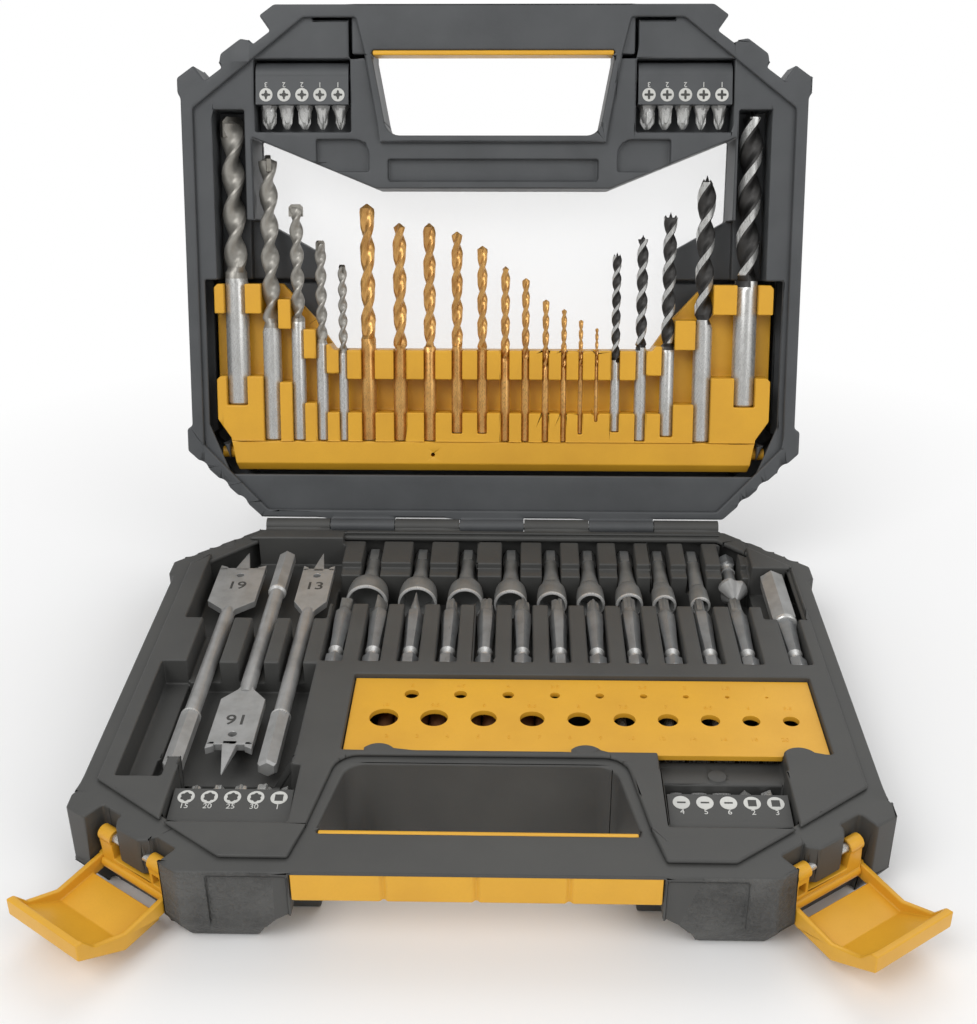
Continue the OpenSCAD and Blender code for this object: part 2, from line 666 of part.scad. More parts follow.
module plain_drill(i, kind) at(drill_u(i), 0, -drill_depth(i)) {
    d = drills[i][0];
    v0 = ledge_v + drills[i][3] + seat_gap;
    v1 = v0 + drills[i][1];
    tip = kind == "masonry" ? 0.25 * d : kind == "metal" ? 0.35 * d : 0.5 * d;
    rod_v(v0, v1 - tip, d);
    cone_v(v1 - tip, v1, kind == "wood" ? 0.35 * d : d, kind == "wood" ? 0.1 : d * 0.3);
}
module masonry_drill(i) color(steel) in_lid() plain_drill(i, "masonry");
module metal_drill(i) color(gold) in_lid() plain_drill(i, "metal");
module wood_drill(i) color(black_oxide) in_lid() plain_drill(i, "wood");

// ---- gauge plate ----
module gauge_plate() color(plastic_yellow) in_base() difference() {
    at(gauge_u0, gauge_v0 + gauge_w, -gauge_t - 0.2) cube([gauge_l, gauge_w, gauge_t]);
    translate([0, 0, -gauge_t - 1]) gauge_tabs(tab_r + 0.3);
    for (i = [0 : len(big_holes) - 1])
        at(gauge_u0 + big_hole_u[i], gauge_v0 + 23.6, -5) cylinder(d = big_holes[i], h = 8);
    for (i = [0 : len(small_holes) - 1])
        at(gauge_u0 + small_hole_u[i], gauge_v0 + 9.6, -5) cylinder(d = small_holes[i], h = 8, $fn = 24);
}

module wall_plugs() color("#8a5a3a") in_base() for (i = [0 : plug_count - 1], layer = [0, 1])
    at(gauge_u0 + 8 + (i + layer / 2) * (plug_d + 0.3), 0,
        -box_depth + plug_d / 2 + seat_gap + layer * 0.93 * plug_d)
        rod_v(gauge_v0 + 6, gauge_v0 + 6 + plug_l, plug_d);

module screws() color(steel) in_base() for (i = [0 : screw_count - 1], layer = [0, 1])
    at(gauge_u0 + 87 + i * (screw_head_d + 1.4), 0,
        -box_depth + screw_head_d / 2 + seat_gap + layer * (screw_head_d + 0.3)) {
        rod_v(gauge_v0 + 7, gauge_v0 + 7 + screw_l - 3 + join, screw_head_d / 2);
        cone_v(gauge_v0 + 7 + screw_l - 3, gauge_v0 + 7 + screw_l, screw_head_d / 2, screw_head_d);
    }

// ---- insert-bit holders ----
module holder_section() {
    polygon([[-holder_back_v, holder_top], [-holder_pivot_v, holder_pivot_z + holder_r - 0.02],
        [-holder_pivot_v, holder_pivot_z - holder_r + 0.02],
        [-holder_back_v, holder_pivot_z - holder_r + 0.02]]);
}

module bit_spots(s) for (k = [-2 : 2]) at(s * holder_mid + k * insert_bit_pitch, 0, holder_pivot_z)
    children();

module bit_holder(s) {
    difference() {
        union() {
            translate([s * holder_mid, 0, 0]) across(-holder_w / 2, holder_w / 2) holder_section();
            at(s * holder_mid, holder_pivot_v, holder_pivot_z) {
                rod_u(-holder_w / 2, holder_w / 2, 2 * holder_r);
                rod_u(-holder_w / 2 - holder_end_gap - 2, holder_w / 2 + holder_end_gap + 2, holder_pin_d);
            }
        }
        bit_spots(s) hex_v(holder_back_v - 1, holder_back_v + holder_grip + 0.2, hex_af + 0.3, 30);
    }
}

module insert_bit() {
    v1 = holder_back_v + holder_grip;
    hex_v(v1 - insert_bit_l + 8, v1, hex_af, 30);
    rod_v(v1 - insert_bit_l + 6, v1 - insert_bit_l + 8 + join, 5);
    cone_v(v1 - insert_bit_l, v1 - insert_bit_l + 6.5, 2.2, 5.6);
}

module bit_holder_base_left() color(plastic_dark) in_base() bit_holder(-1);
module bit_holder_base_right() color(plastic_dark) in_base() bit_holder(1);
module bit_holder_lid_left() color(plastic_lid) in_lid() bit_holder(-1);
module bit_holder_lid_right() color(plastic_lid) in_lid() bit_holder(1);
module insert_bits_base_left() color(steel) in_base() bit_spots(-1) insert_bit();
module insert_bits_base_right() color(steel) in_base() bit_spots(1) insert_bit();
module insert_bits_lid_left() color(steel) in_lid() bit_spots(-1) insert_bit();
module insert_bits_lid_right() color(steel) in_lid() bit_spots(1) insert_bit();

// ---- tools in the base ----
module power_bit() {
    v1 = bit_end_v;
    v0 = v1 - power_bit_l;
    hex_v(v1 - 9, v1, hex_af);
    rod_v(v1 - 13 - join, v1 - 9 + join, 4.6);
    hex_v(v0 + 12, v1 - 13, hex_af);
    rod_v(v0 + 6 - join, v0 + 12 + join, 5);
    cone_v(v0, v0 + 6, 2, 5);
}
module power_bits(first, last) color(steel_dark) in_base() for (i = [first : last])
    at(bit_u(i), 0, bit_z) power_bit();
module power_bits_slotted() power_bits(0, 2);
module power_bits_cross() power_bits(3, 7);
module power_bits_star() power_bits(8, 11);

module magnetic_bit_holder() color(steel) in_base() at(sleeve_u, 0, bit_z) {
    hex_v(bit_end_v - 9, bit_end_v, hex_af);
    rod_v(bit_end_v - 13 - join, bit_end_v - 9 + join, 4.6);
    hex_v(sleeve_v0 + sleeve_l - join, bit_end_v - 13, hex_af);
    difference() {
        rod_v(sleeve_v0, sleeve_v0 + sleeve_l, sleeve_d);
        hex_v(sleeve_v0 - 1, sleeve_v0 + 14, hex_af + 0.15);
    }
}

module countersink() color(steel) in_base() at(countersink_u, 0, socket_z) {
    hex_v(countersink_v, 28, hex_af);
    rod_v(28 - join, 36 + join, 5);
    cone_v(36, 40, 5, countersink_d);
    cone_v(40, 47, countersink_d, 1.5);
}

module socket(s) at(s[2], 0, socket_z) difference() {
    union() {
        hex_v(socket_shank_v, socket_shank_v + 8, hex_af);
        rod_v(socket_shank_v + 8 - join, socket_neck_v + join, 2 * shank_r);
        cone_v(socket_neck_v, socket_mouth_v - socket_l, 2 * shank_r, s[0] - 1);
        rod_v(socket_mouth_v - socket_l, socket_mouth_v, s[0]);
    }
    hex_v(socket_mouth_v - socket_bore_l, socket_mouth_v + 1, s[1] + 0.2);
}
module socket_group(first) color(steel_dark) in_base() for (i = [first : first + 2]) socket(sockets[i]);
module sockets_large() socket_group(0);
module sockets_medium() socket_group(3);
module sockets_small() socket_group(6);

module spade_bit(u, size, turned) color(steel) in_base() at(u, 0, spade_z) {
    blade_t = 2.8;
    l = spade_l;
    translate([0, turned ? -spade_end_v : -spade_back_v, 0]) rotate(turned ? 180 : 0) {
        difference() {
            translate([0, 0, -blade_t / 2]) linear_extrude(blade_t) polygon([[0, 0],
                [size * 0.1 + 0.6, -11], [size / 2 - 2, -11], [size / 2, -9.5], [size / 2, -41],
                [shank_r, -48], [-shank_r, -48], [-size / 2, -41], [-size / 2, -9.5],
                [-size / 2 + 2, -11], [-size * 0.1 - 0.6, -11]]);
            at(0, 16, -5) cylinder(d = 2.6, h = 10, $fn = 24);
        }
        rod_v(48, l - 30, 2 * shank_r);
        hex_v(l - 30, l, hex_af);
    }
}

// ---- latches ----
module latch_pins() color(steel) in_base() at_latch_both() translate([0, latch_pin_y, latch_pin_z])
    rod_u(-link_half + 0.2, link_half - 0.2, latch_pin_d);

module latch_link(s) color(plastic_yellow) in_base() at_latch(s) difference() {
    union() {
        for (e = [-1, 1]) {
            u0 = e > 0 ? nub_w / 2 + side_gap : -link_half;
            u1 = e > 0 ? link_half : -nub_w / 2 - side_gap;
            translate([0, latch_pin_y, latch_pin_z]) rod_u(u0, u1, 2 * link_ring_r);
            across(u0, u1) polygon([[latch_pin_y - link_ring_r + 0.6, latch_pin_z],
                [latch_pin_y - link_ring_r + 0.6, lever_z], [latch_pin_y + 1.4, lever_z],
                [latch_pin_y + 1.4, latch_pin_z]]);
        }
        across(-link_half, link_half) polygon([[latch_pin_y - link_ring_r + 0.6, -nub_h - 0.9],
            [latch_pin_y - link_ring_r + 0.6, lever_z], [latch_pin_y + 1.4, lever_z],
            [latch_pin_y + 1.4, -nub_h - 0.9]]);
        translate([0, lever_y, lever_z]) {
            rod_u(-link_half, link_half, 4.8);
            rod_u(-lever_half + 0.2, lever_half - 0.2, stub_d);
        }
    }
    translate([-nub_w, latch_pin_y, latch_pin_z]) rod_u(0, 2 * nub_w, latch_pin_d + 2 * pin_play);
    // slot in the arm nearer the handle
    translate([-s * (link_half + nub_w / 2 + side_gap) / 2, latch_pin_y, -13.2])
        cube([3.2, 12, 4], center = true);
}

// The lever is drawn closed, then swung down about the link's lower edge
module lever_closed() {
    kink = [-5.2, -0.5];
    tip = [0.4, 16.8];
    across(-lever_half, lever_half) polygon([[-1.2, -13.5], kink, tip, [6.4, 17.8], [6.4, 15.2],
        [2.6, 14.6], [-2.9, -0.5], [1.2, -13.5]]);
    difference() {
        for (e = [-1, 1]) translate([e > 0 ? link_half + 0.4 : -lever_half, 0, 0]) {
            across(0, lever_half - link_half - 0.4) polygon([[1.2, lever_z], kink, tip, [6.4, 17.8],
                [6.4, 15.2], [2.6, 11], [0.6, -0.5], [lever_y + ear_r, lever_z]]);
            translate([0, lever_y, lever_z]) rod_u(0, lever_half - link_half - 0.4, 2 * ear_r);
        }
        translate([-2 * lever_half, lever_y, lever_z]) rod_u(0, 4 * lever_half, stub_d + 2 * pin_play);
    }
}

module latch_lever(s) color(plastic_yellow) in_base() at_latch(s)
    translate([0, lever_y, lever_z]) rotate([lever_swing, 0, 0]) translate([0, -lever_y, -lever_z])
        lever_closed();

base_shell();
base_tray();
hinge_rod();
grip_base();
lid_shell();
lid_liner();
lid_window();
grip_lid();
drill_rack();
gauge_plate();
latch_pins();
latch_link(-1);  // latch_link_left
latch_link(1);  // latch_link_right
latch_lever(-1);  // latch_lever_left
latch_lever(1);  // latch_lever_right
bit_holder_base_left();
bit_holder_base_right();
bit_holder_lid_left();
bit_holder_lid_right();
insert_bits_base_left();
insert_bits_base_right();
insert_bits_lid_left();
insert_bits_lid_right();
power_bits_slotted();
power_bits_cross();
power_bits_star();
magnetic_bit_holder();
countersink();
sockets_large();
sockets_medium();
sockets_small();
spade_bit(spade_19_u, 19.2, false);  // spade_bit_19
spade_bit(spade_16_u, 15.8, true);  // spade_bit_16
spade_bit(spade_13_u, 12.8, false);  // spade_bit_13
wall_plugs();
screws();
masonry_drill(0);  // masonry_drill_10
masonry_drill(1);  // masonry_drill_8
masonry_drill(2);  // masonry_drill_6
masonry_drill(3);  // masonry_drill_5
masonry_drill(4);  // masonry_drill_4
metal_drill(5);  // metal_drill_6_5
metal_drill(6);  // metal_drill_6
metal_drill(7);  // metal_drill_5_5
metal_drill(8);  // metal_drill_5
metal_drill(9);  // metal_drill_4_5
metal_drill(10);  // metal_drill_4
metal_drill(11);  // metal_drill_3_5
metal_drill(12);  // metal_drill_3
metal_drill(13);  // metal_drill_2_5
metal_drill(14);  // metal_drill_2
metal_drill(15);  // metal_drill_1_5
wood_drill(16);  // wood_drill_4
wood_drill(17);  // wood_drill_5
wood_drill(18);  // wood_drill_6
wood_drill(19);  // wood_drill_8
wood_drill(20);  // wood_drill_10
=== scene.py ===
# Drill bit case, open, with its drills, bits, sockets and small parts
import json
import math
import bmesh
import bpy
from mathutils import Matrix, Vector


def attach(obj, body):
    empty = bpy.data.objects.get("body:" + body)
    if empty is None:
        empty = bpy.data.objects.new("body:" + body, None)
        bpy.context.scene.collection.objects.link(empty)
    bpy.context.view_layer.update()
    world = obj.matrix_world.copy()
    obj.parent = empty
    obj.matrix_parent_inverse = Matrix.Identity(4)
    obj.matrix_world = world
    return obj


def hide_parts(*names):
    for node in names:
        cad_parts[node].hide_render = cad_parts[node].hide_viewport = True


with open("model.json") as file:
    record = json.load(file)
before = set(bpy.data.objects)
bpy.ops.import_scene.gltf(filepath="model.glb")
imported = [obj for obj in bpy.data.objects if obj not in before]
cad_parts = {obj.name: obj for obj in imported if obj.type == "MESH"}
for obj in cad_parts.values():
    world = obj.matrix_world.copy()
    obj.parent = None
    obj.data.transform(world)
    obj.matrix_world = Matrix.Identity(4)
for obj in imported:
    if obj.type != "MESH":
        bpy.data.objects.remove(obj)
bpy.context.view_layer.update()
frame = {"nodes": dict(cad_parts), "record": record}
mm = 0.001


def turned(axis, degrees):
    return Matrix.Rotation(math.radians(degrees), 4, axis)


def shifted(x, y, z):
    # a move given in mm
    return Matrix.Translation((x * mm, y * mm, z * mm))


def cornerOf(acrossFlats):
    return acrossFlats / 2 / math.cos(math.radians(30))


hexCorner = cornerOf(6.35)  # of a quarter-inch hex, in mm
caseFrame = {"hingeBack": 110.55, "rimHeight": 30, "lidAngle": 107.3}  # in mm and degrees
# base pieces are drawn in mm with X across, -Y away from the hinge and Z up from the rim
basePlace = shifted(0, caseFrame["hingeBack"], caseFrame["rimHeight"])
# lid pieces are drawn in mm with X across, Y into the lid and Z away from the hinge
lidPlace = basePlace @ turned("X", 90 - caseFrame["lidAngle"])


# working helpers

def deselectAll():
    if bpy.context.object and bpy.context.object.mode != "OBJECT":
        bpy.ops.object.mode_set(mode="OBJECT")
    for item in bpy.context.selected_objects:
        item.select_set(False)


def makeActive(piece):
    deselectAll()
    piece.select_set(True)
    bpy.context.view_layer.objects.active = piece


def startEdit(piece, mode="VERT"):
    makeActive(piece)
    bpy.ops.object.mode_set(mode="EDIT")
    bpy.ops.mesh.select_mode(type=mode)
    bpy.ops.mesh.select_all(action="DESELECT")


def endEdit():
    bpy.ops.object.mode_set(mode="OBJECT")


def pick(test, kind="verts"):
    # selects what passes the test in the mesh that is being edited
    mesh = bmesh.from_edit_mesh(bpy.context.edit_object.data)
    found = 0
    for item in getattr(mesh, kind):
        chosen = bool(test(item))
        item.select_set(chosen)
        found += chosen
    if kind == "verts":
        mesh.select_flush(True)
    else:
        mesh.select_flush_mode()
    bmesh.update_edit_mesh(bpy.context.edit_object.data)
    return found


def useModifier(piece, kind, **values):
    makeActive(piece)
    modifier = piece.modifiers.new(kind.title(), kind)
    for key, value in values.items():
        setattr(modifier, key, value)
    bpy.ops.object.modifier_apply(modifier=modifier.name)


def smoothByAngle(piece, degrees):
    makeActive(piece)
    bpy.ops.object.shade_smooth_by_angle(angle=math.radians(degrees))


def placed(piece, place):
    # from mm in its own frame to metres in the shared one
    makeActive(piece)
    piece.matrix_world = place @ Matrix.Scale(mm, 4) @ piece.matrix_world
    bpy.ops.object.transform_apply(location=True, rotation=True, scale=True)
    return piece


def joinPieces(pieces):
    if len(pieces) == 1:
        return pieces[0]
    deselectAll()
    for piece in pieces:
        piece.select_set(True)
    bpy.context.view_layer.objects.active = pieces[0]
    bpy.ops.object.join()
    return pieces[0]


def giveFinish(piece, *finishes):
    piece.data.materials.clear()
    for finish in finishes:
        piece.data.materials.append(finish)


def finishPieces(parts, finishes):
    for part, finish in zip(parts, finishes):
        giveFinish(part, finish)
    return joinPieces(parts)


nodeBody = {node: body for body, nodes in frame["record"]["behaviour"]["bodies"].items()
            for node in nodes}


def layOut(pieces, node, ending="_made", degrees=32):
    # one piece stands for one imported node
    piece = joinPieces(pieces)
    piece.name = node + ending
    piece.data.name = piece.name
    smoothByAngle(piece, degrees)
    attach(piece, nodeBody[node])
    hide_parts(node)


def blockSet(blocks):
    # boxes in the base, each from two corners given across, away from the hinge and above the rim
    made = []
    for low, high in blocks:
        middle = [(a + b) / 2 for a, b in zip(low, high)]
        bpy.ops.mesh.primitive_cube_add(size=1, location=(middle[0], -middle[1], middle[2]),
                                        scale=[b - a for a, b in zip(low, high)])
        made.append(placed(bpy.context.object, basePlace))
    return joinPieces(made)


def combine(piece, tool, operation):
    useModifier(piece, "BOOLEAN", object=tool, operation=operation, solver="EXACT")
    bpy.data.objects.remove(tool)


def spotOf(point, half):
    # across, away from the hinge, and the level, in mm
    if half == "base":
        local = basePlace.inverted() @ point / mm
        return local.x, -local.y, local.z
    local = lidPlace.inverted() @ point / mm
    return local.x, local.z, local.y


moulding = {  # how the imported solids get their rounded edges, in mm, degrees and counts
    "edgeSegments": 2, "sharper": 30, "longer": 0.9, "smooth": 40, "same": 0.002, "flat": 1,
    "cornerSegments": 5, "lean": 0.02, "rise": 0.3, "hollow": 0.01, "cell": 8, "shift": 0.37,
    "cellsAcross": 17, "cellsInward": 28, "pocketWall": 1.4, "pocketOverlap": 3}


def roundCorners(piece, half, corners):
    # rounds upright edges that stand within the given ranges across and away from the hinge
    for radius, (uLow, uHigh), (awayLow, awayHigh) in corners:
        def upright(edge):
            first, second = (spotOf(vert.co, half) for vert in edge.verts)
            lean, rise = math.dist(first[:2], second[:2]), abs(first[2] - second[2])
            if lean > moulding["lean"] or rise < moulding["rise"]:
                return False
            return uLow <= abs(first[0]) <= uHigh and awayLow <= first[1] <= awayHigh
        startEdit(piece, "EDGE")
        if pick(upright, "edges"):
            bpy.ops.mesh.bevel(offset=radius * mm, segments=moulding["cornerSegments"],
                               affect="EDGES", clamp_overlap=False)
        endEdit()


def isConcave(face):
    corners = [vert.co for vert in face.verts]
    for index, corner in enumerate(corners):
        before = corner - corners[index - 1]
        after = corners[(index + 1) % len(corners)] - corner
        turn = before.cross(after).dot(face.normal)
        if turn < -moulding["hollow"] * before.length * after.length:
            return True
    return False


def makeTriangles():
    bpy.ops.mesh.quads_convert_to_tris(quad_method="BEAUTY", ngon_method="BEAUTY")


def cutIntoCells(half):
    # short convex faces keep the rounded edges even
    place = basePlace if half == "base" else lidPlace
    inward = (0, 1, 0) if half == "base" else (0, 0, 1)
    ways = ((1, 0, 0), moulding["cellsAcross"]), (inward, moulding["cellsInward"])
    for direction, reach in ways:
        normal = (place.to_3x3() @ Vector(direction)).normalized()
        for index in range(-reach, reach + 1):
            along = Vector(direction) * (index + moulding["shift"]) * moulding["cell"] * mm
            bpy.ops.mesh.select_all(action="SELECT")
            bpy.ops.mesh.bisect(plane_co=place @ along, plane_no=normal)
    bpy.ops.mesh.select_mode(type="FACE")
    if pick(isConcave, "faces"):
        makeTriangles()
    bpy.ops.mesh.select_mode(type="VERT")


def evenShading(piece, degrees):
    smoothByAngle(piece, degrees)
    useModifier(piece, "WEIGHTED_NORMAL", keep_sharp=True, weight=80)


def softenedNode(node, radius, material, half, corners=(), pockets=(), cuts=()):
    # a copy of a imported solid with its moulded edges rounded
    source = frame["nodes"][node]
    piece = bpy.data.objects.new(node + "_moulded", source.data.copy())
    bpy.context.scene.collection.objects.link(piece)
    if pockets:
        wall = moulding["pocketWall"]
        grown = [((low[0] - wall, low[1], low[2] - wall),
                  (high[0] + wall, high[1] + wall, -wall / 2)) for low, high in pockets]
        combine(piece, blockSet(grown), "UNION")
    if pockets or cuts:
        opened = [((low[0], low[1] - moulding["pocketOverlap"], low[2]), high)
                  for low, high in pockets]
        combine(piece, blockSet(opened + list(cuts)), "DIFFERENCE")
    startEdit(piece)
    bpy.ops.mesh.select_all(action="SELECT")
    bpy.ops.mesh.remove_doubles(threshold=moulding["same"] * mm)
    bpy.ops.mesh.dissolve_limited(angle_limit=math.radians(moulding["flat"]))
    if corners:
        endEdit()
        roundCorners(piece, half, corners)
        startEdit(piece)
    if half:
        cutIntoCells(half)
    else:
        bpy.ops.mesh.select_all(action="SELECT")
        makeTriangles()
    bpy.ops.mesh.select_all(action="DESELECT")
    endEdit()
    mesh = piece.data
    mesh.attributes.new("bevel_weight_edge", "FLOAT", "EDGE")
    shape = bmesh.new()
    shape.from_mesh(mesh)
    layer = shape.edges.layers.float["bevel_weight_edge"]
    for edge in shape.edges:
        if len(edge.link_faces) == 2 and edge.calc_length() > moulding["longer"] * mm:
            if edge.calc_face_angle(0) > math.radians(moulding["sharper"]):
                edge[layer] = 1
    shape.to_mesh(mesh)
    shape.free()
    useModifier(piece, "BEVEL", width=radius * mm, segments=moulding["edgeSegments"],
                limit_method="WEIGHT", use_clamp_overlap=False, loop_slide=False,
                miter_outer="MITER_ARC")
    # narrow ledges can push a corner past the part's outside
    for axis in range(3):
        places = [vert.co[axis] for vert in source.data.vertices]
        low, high = min(places), max(places)
        for vert in mesh.vertices:
            vert.co[axis] = min(max(vert.co[axis], low), high)
    giveFinish(piece, material)
    evenShading(piece, moulding["smooth"])
    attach(piece, nodeBody[node])
    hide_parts(node)
    return piece


# materials

def linear(red, green, blue):
    parts = []
    for value in (red, green, blue):
        value /= 255
        parts.append(value / 12.92 if value <= 0.04045 else ((value + 0.055) / 1.055) ** 2.4)
    return (*parts, 1)


def newMaterial(name):
    material = bpy.data.materials.new(name)
    material.use_nodes = True
    tree = material.node_tree
    shader = tree.nodes["Principled BSDF"]
    coords = tree.nodes.new("ShaderNodeTexCoord")
    return material, tree, shader, coords.outputs["Object"]


def addNoise(tree, vector, scale, detail):
    noise = tree.nodes.new("ShaderNodeTexNoise")
    noise.inputs["Scale"].default_value = scale
    noise.inputs["Detail"].default_value = detail
    noise.inputs["Roughness"].default_value = 0.55
    tree.links.new(vector, noise.inputs["Vector"])
    return noise.outputs["Fac"]


def addRange(tree, value, low, high, fromLow=0.3, fromHigh=0.7):
    ranged = tree.nodes.new("ShaderNodeMapRange")
    ranged.inputs["From Min"].default_value = fromLow
    ranged.inputs["From Max"].default_value = fromHigh
    ranged.inputs["To Min"].default_value = low
    ranged.inputs["To Max"].default_value = high
    tree.links.new(value, ranged.inputs["Value"])
    return ranged.outputs["Result"]


def addMix(tree, amount, first, second):
    mix = tree.nodes.new("ShaderNodeMix")
    mix.data_type = "RGBA"
    tree.links.new(amount, mix.inputs["Factor"])
    for value, socket in ((first, mix.inputs["A"]), (second, mix.inputs["B"])):
        if hasattr(value, "links"):
            tree.links.new(value, socket)
        else:
            socket.default_value = value
    return mix.outputs["Result"]


def addBump(tree, height, strength, distance):
    bump = tree.nodes.new("ShaderNodeBump")
    bump.inputs["Strength"].default_value = strength
    bump.inputs["Distance"].default_value = distance
    tree.links.new(height, bump.inputs["Height"])
    return bump.outputs["Normal"]


def stretched(tree, vector, scale, turn):
    mapping = tree.nodes.new("ShaderNodeMapping")
    mapping.inputs["Scale"].default_value = scale
    mapping.inputs["Rotation"].default_value = turn
    tree.links.new(vector, mapping.inputs["Vector"])
    return mapping.outputs["Vector"]


def mouldedPlastic(name, colour, scuffed, grain, roughness, bump, depth=0.0001):
    material, tree, shader, coords = newMaterial(name)
    colour, scuffed = linear(*colour), linear(*scuffed)
    mottle = addNoise(tree, coords, 38, 4)
    fine = addNoise(tree, coords, grain, 2)
    base = addMix(tree, addRange(tree, mottle, 0, 1), colour, scuffed)
    speck = addMix(tree, addRange(tree, fine, 0, 0.35, 0.45, 0.75), base, scuffed)
    tree.links.new(speck, shader.inputs["Base Color"])
    gloss = addRange(tree, mottle, roughness - 0.05, roughness + 0.06)
    tree.links.new(gloss, shader.inputs["Roughness"])
    tree.links.new(addBump(tree, fine, bump, depth), shader.inputs["Normal"])
    shader.inputs["Specular IOR Level"].default_value = 0.42
    return material


def toolSteel(name, colour, stained, roughness, lines, turn, metallic=1.0):
    # ground metal with fine lines along the tool, and faint stains
    material, tree, shader, coords = newMaterial(name)
    streaks = addNoise(tree, stretched(tree, coords, lines, turn), 1, 3)
    stains = addNoise(tree, coords, 160, 4)
    amount = addRange(tree, stains, 0, 1, 0.4, 0.72)
    base = addMix(tree, amount, linear(*colour), linear(*stained))
    tree.links.new(base, shader.inputs["Base Color"])
    gloss = addRange(tree, streaks, roughness - 0.07, roughness + 0.1)
    tree.links.new(gloss, shader.inputs["Roughness"])
    tree.links.new(addBump(tree, streaks, 0.1, 0.00005), shader.inputs["Normal"])
    shader.inputs["Metallic"].default_value = metallic
    return material


# plastics: colour, scuffed colour, grain, roughness and bump
darkPlastic = mouldedPlastic("darkPlastic", (66, 66, 65), (76, 76, 74), 2600, 0.52, 0.35)
lidPlastic = mouldedPlastic("lidPlastic", (69, 71, 73), (80, 82, 84), 2600, 0.48, 0.3)
yellowPlastic = mouldedPlastic("yellowPlastic", (228, 172, 50), (216, 160, 46), 1500, 0.38, 0.2)
labelWhite = mouldedPlastic("labelWhite", (208, 208, 203), (190, 190, 186), 1400, 0.5, 0.1)
labelDark = mouldedPlastic("labelDark", (58, 58, 56), (70, 70, 68), 1400, 0.5, 0.1)
labelGrey = mouldedPlastic("labelGrey", (214, 214, 210), (190, 190, 186), 1400, 0.5, 0.1)
roughPlastic = mouldedPlastic("roughPlastic", (50, 50, 49), (96, 96, 94), 700, 0.6, 1.0, 0.001)
plugBrown = mouldedPlastic("plugBrown", (134, 92, 62), (116, 76, 50), 1400, 0.55, 0.2)

# metals: colour, stained colour, roughness, density of the fine lines, their turn, and metallic
lidTurn = (math.radians(caseFrame["lidAngle"] - 90), 0, 0)
baseTurn = (0, 0, 0)
baseLines = (2200, 90, 2200)
brightSteel = toolSteel("brightSteel", (196, 196, 194), (187, 187, 184), 0.27,
                        (1500, 1500, 40), lidTurn, 0.6)
greySteel = toolSteel("greySteel", (166, 166, 165), (148, 148, 146), 0.36,
                      baseLines, baseTurn, 0.35)
bitSteel = toolSteel("bitSteel", (138, 140, 141), (122, 123, 123), 0.34,
                     baseLines, baseTurn, 0.25)
# a light steel: a painted highlight on the grooves of the quick-change ends, polished steel on the
# spade collars and the magnet's ring, and the lighter rim of the socket mouths
polishAndHighlightSteel = toolSteel("polishAndHighlightSteel", (206, 206, 204), (186, 186, 184), 0.3,
                          (2400, 200, 2400), baseTurn, 0.4)
darkSteel = toolSteel("darkSteel", (130, 131, 130), (113, 113, 111), 0.38,
                      baseLines, baseTurn, 0.25)
# painted shade: a darker steel for the inside of the socket's mouth and nut hole
boreShadeSteel = toolSteel("boreShadeSteel", (92, 90, 86), (72, 70, 66), 0.36, baseLines, baseTurn, 0.4)
goldCoat = toolSteel("goldCoat", (208, 160, 92), (180, 132, 72), 0.28,
                     (1800, 1800, 120), lidTurn, 0.6)
blackOxide = toolSteel("blackOxide", (72, 71, 70), (52, 51, 50), 0.5,
                       (1800, 1800, 300), lidTurn, 0.7)
sandedSteel = toolSteel("sandedSteel", (160, 157, 150), (134, 131, 125), 0.4,
                        (1600, 1600, 500), lidTurn, 0.55)
carbide = toolSteel("carbide", (150, 147, 140), (122, 118, 110), 0.36,
                    (1600, 1600, 1600), lidTurn)

clearWindow, tree, shader, coords = newMaterial("clearWindow")
haze = addNoise(tree, coords, 60, 3)
tree.links.new(addRange(tree, haze, 0.08, 0.16), shader.inputs["Roughness"])
shader.inputs["Base Color"].default_value = linear(246, 247, 248)
shader.inputs["Alpha"].default_value = 0.14

nodeMaterials = {
    darkPlastic: ["bit_holder_base_left", "bit_holder_base_right"],
    lidPlastic: ["bit_holder_lid_left", "bit_holder_lid_right"],
    brightSteel: ["hinge_rod", "latch_pins", "screws"],
    plugBrown: ["wall_plugs"],
    clearWindow: ["lid_window"],
}
for material, nodes in nodeMaterials.items():
    for node in nodes:
        giveFinish(frame["nodes"][node], material)
print("materials made")


# shells, trays, rack and latches with rounded edges

mouldedEdges = {  # edge radius in mm, and the finish
    "base_shell": (0.8, darkPlastic), "base_tray": (0.7, darkPlastic),
    "lid_shell": (0.8, lidPlastic), "lid_liner": (0.7, lidPlastic),
    "drill_rack": (0.5, yellowPlastic),
    "grip_base": (0.5, yellowPlastic), "grip_lid": (0.5, yellowPlastic),
    "latch_link_left": (0.4, yellowPlastic), "latch_link_right": (0.4, yellowPlastic),
    "latch_lever_left": (0.5, yellowPlastic), "latch_lever_right": (0.5, yellowPlastic)}
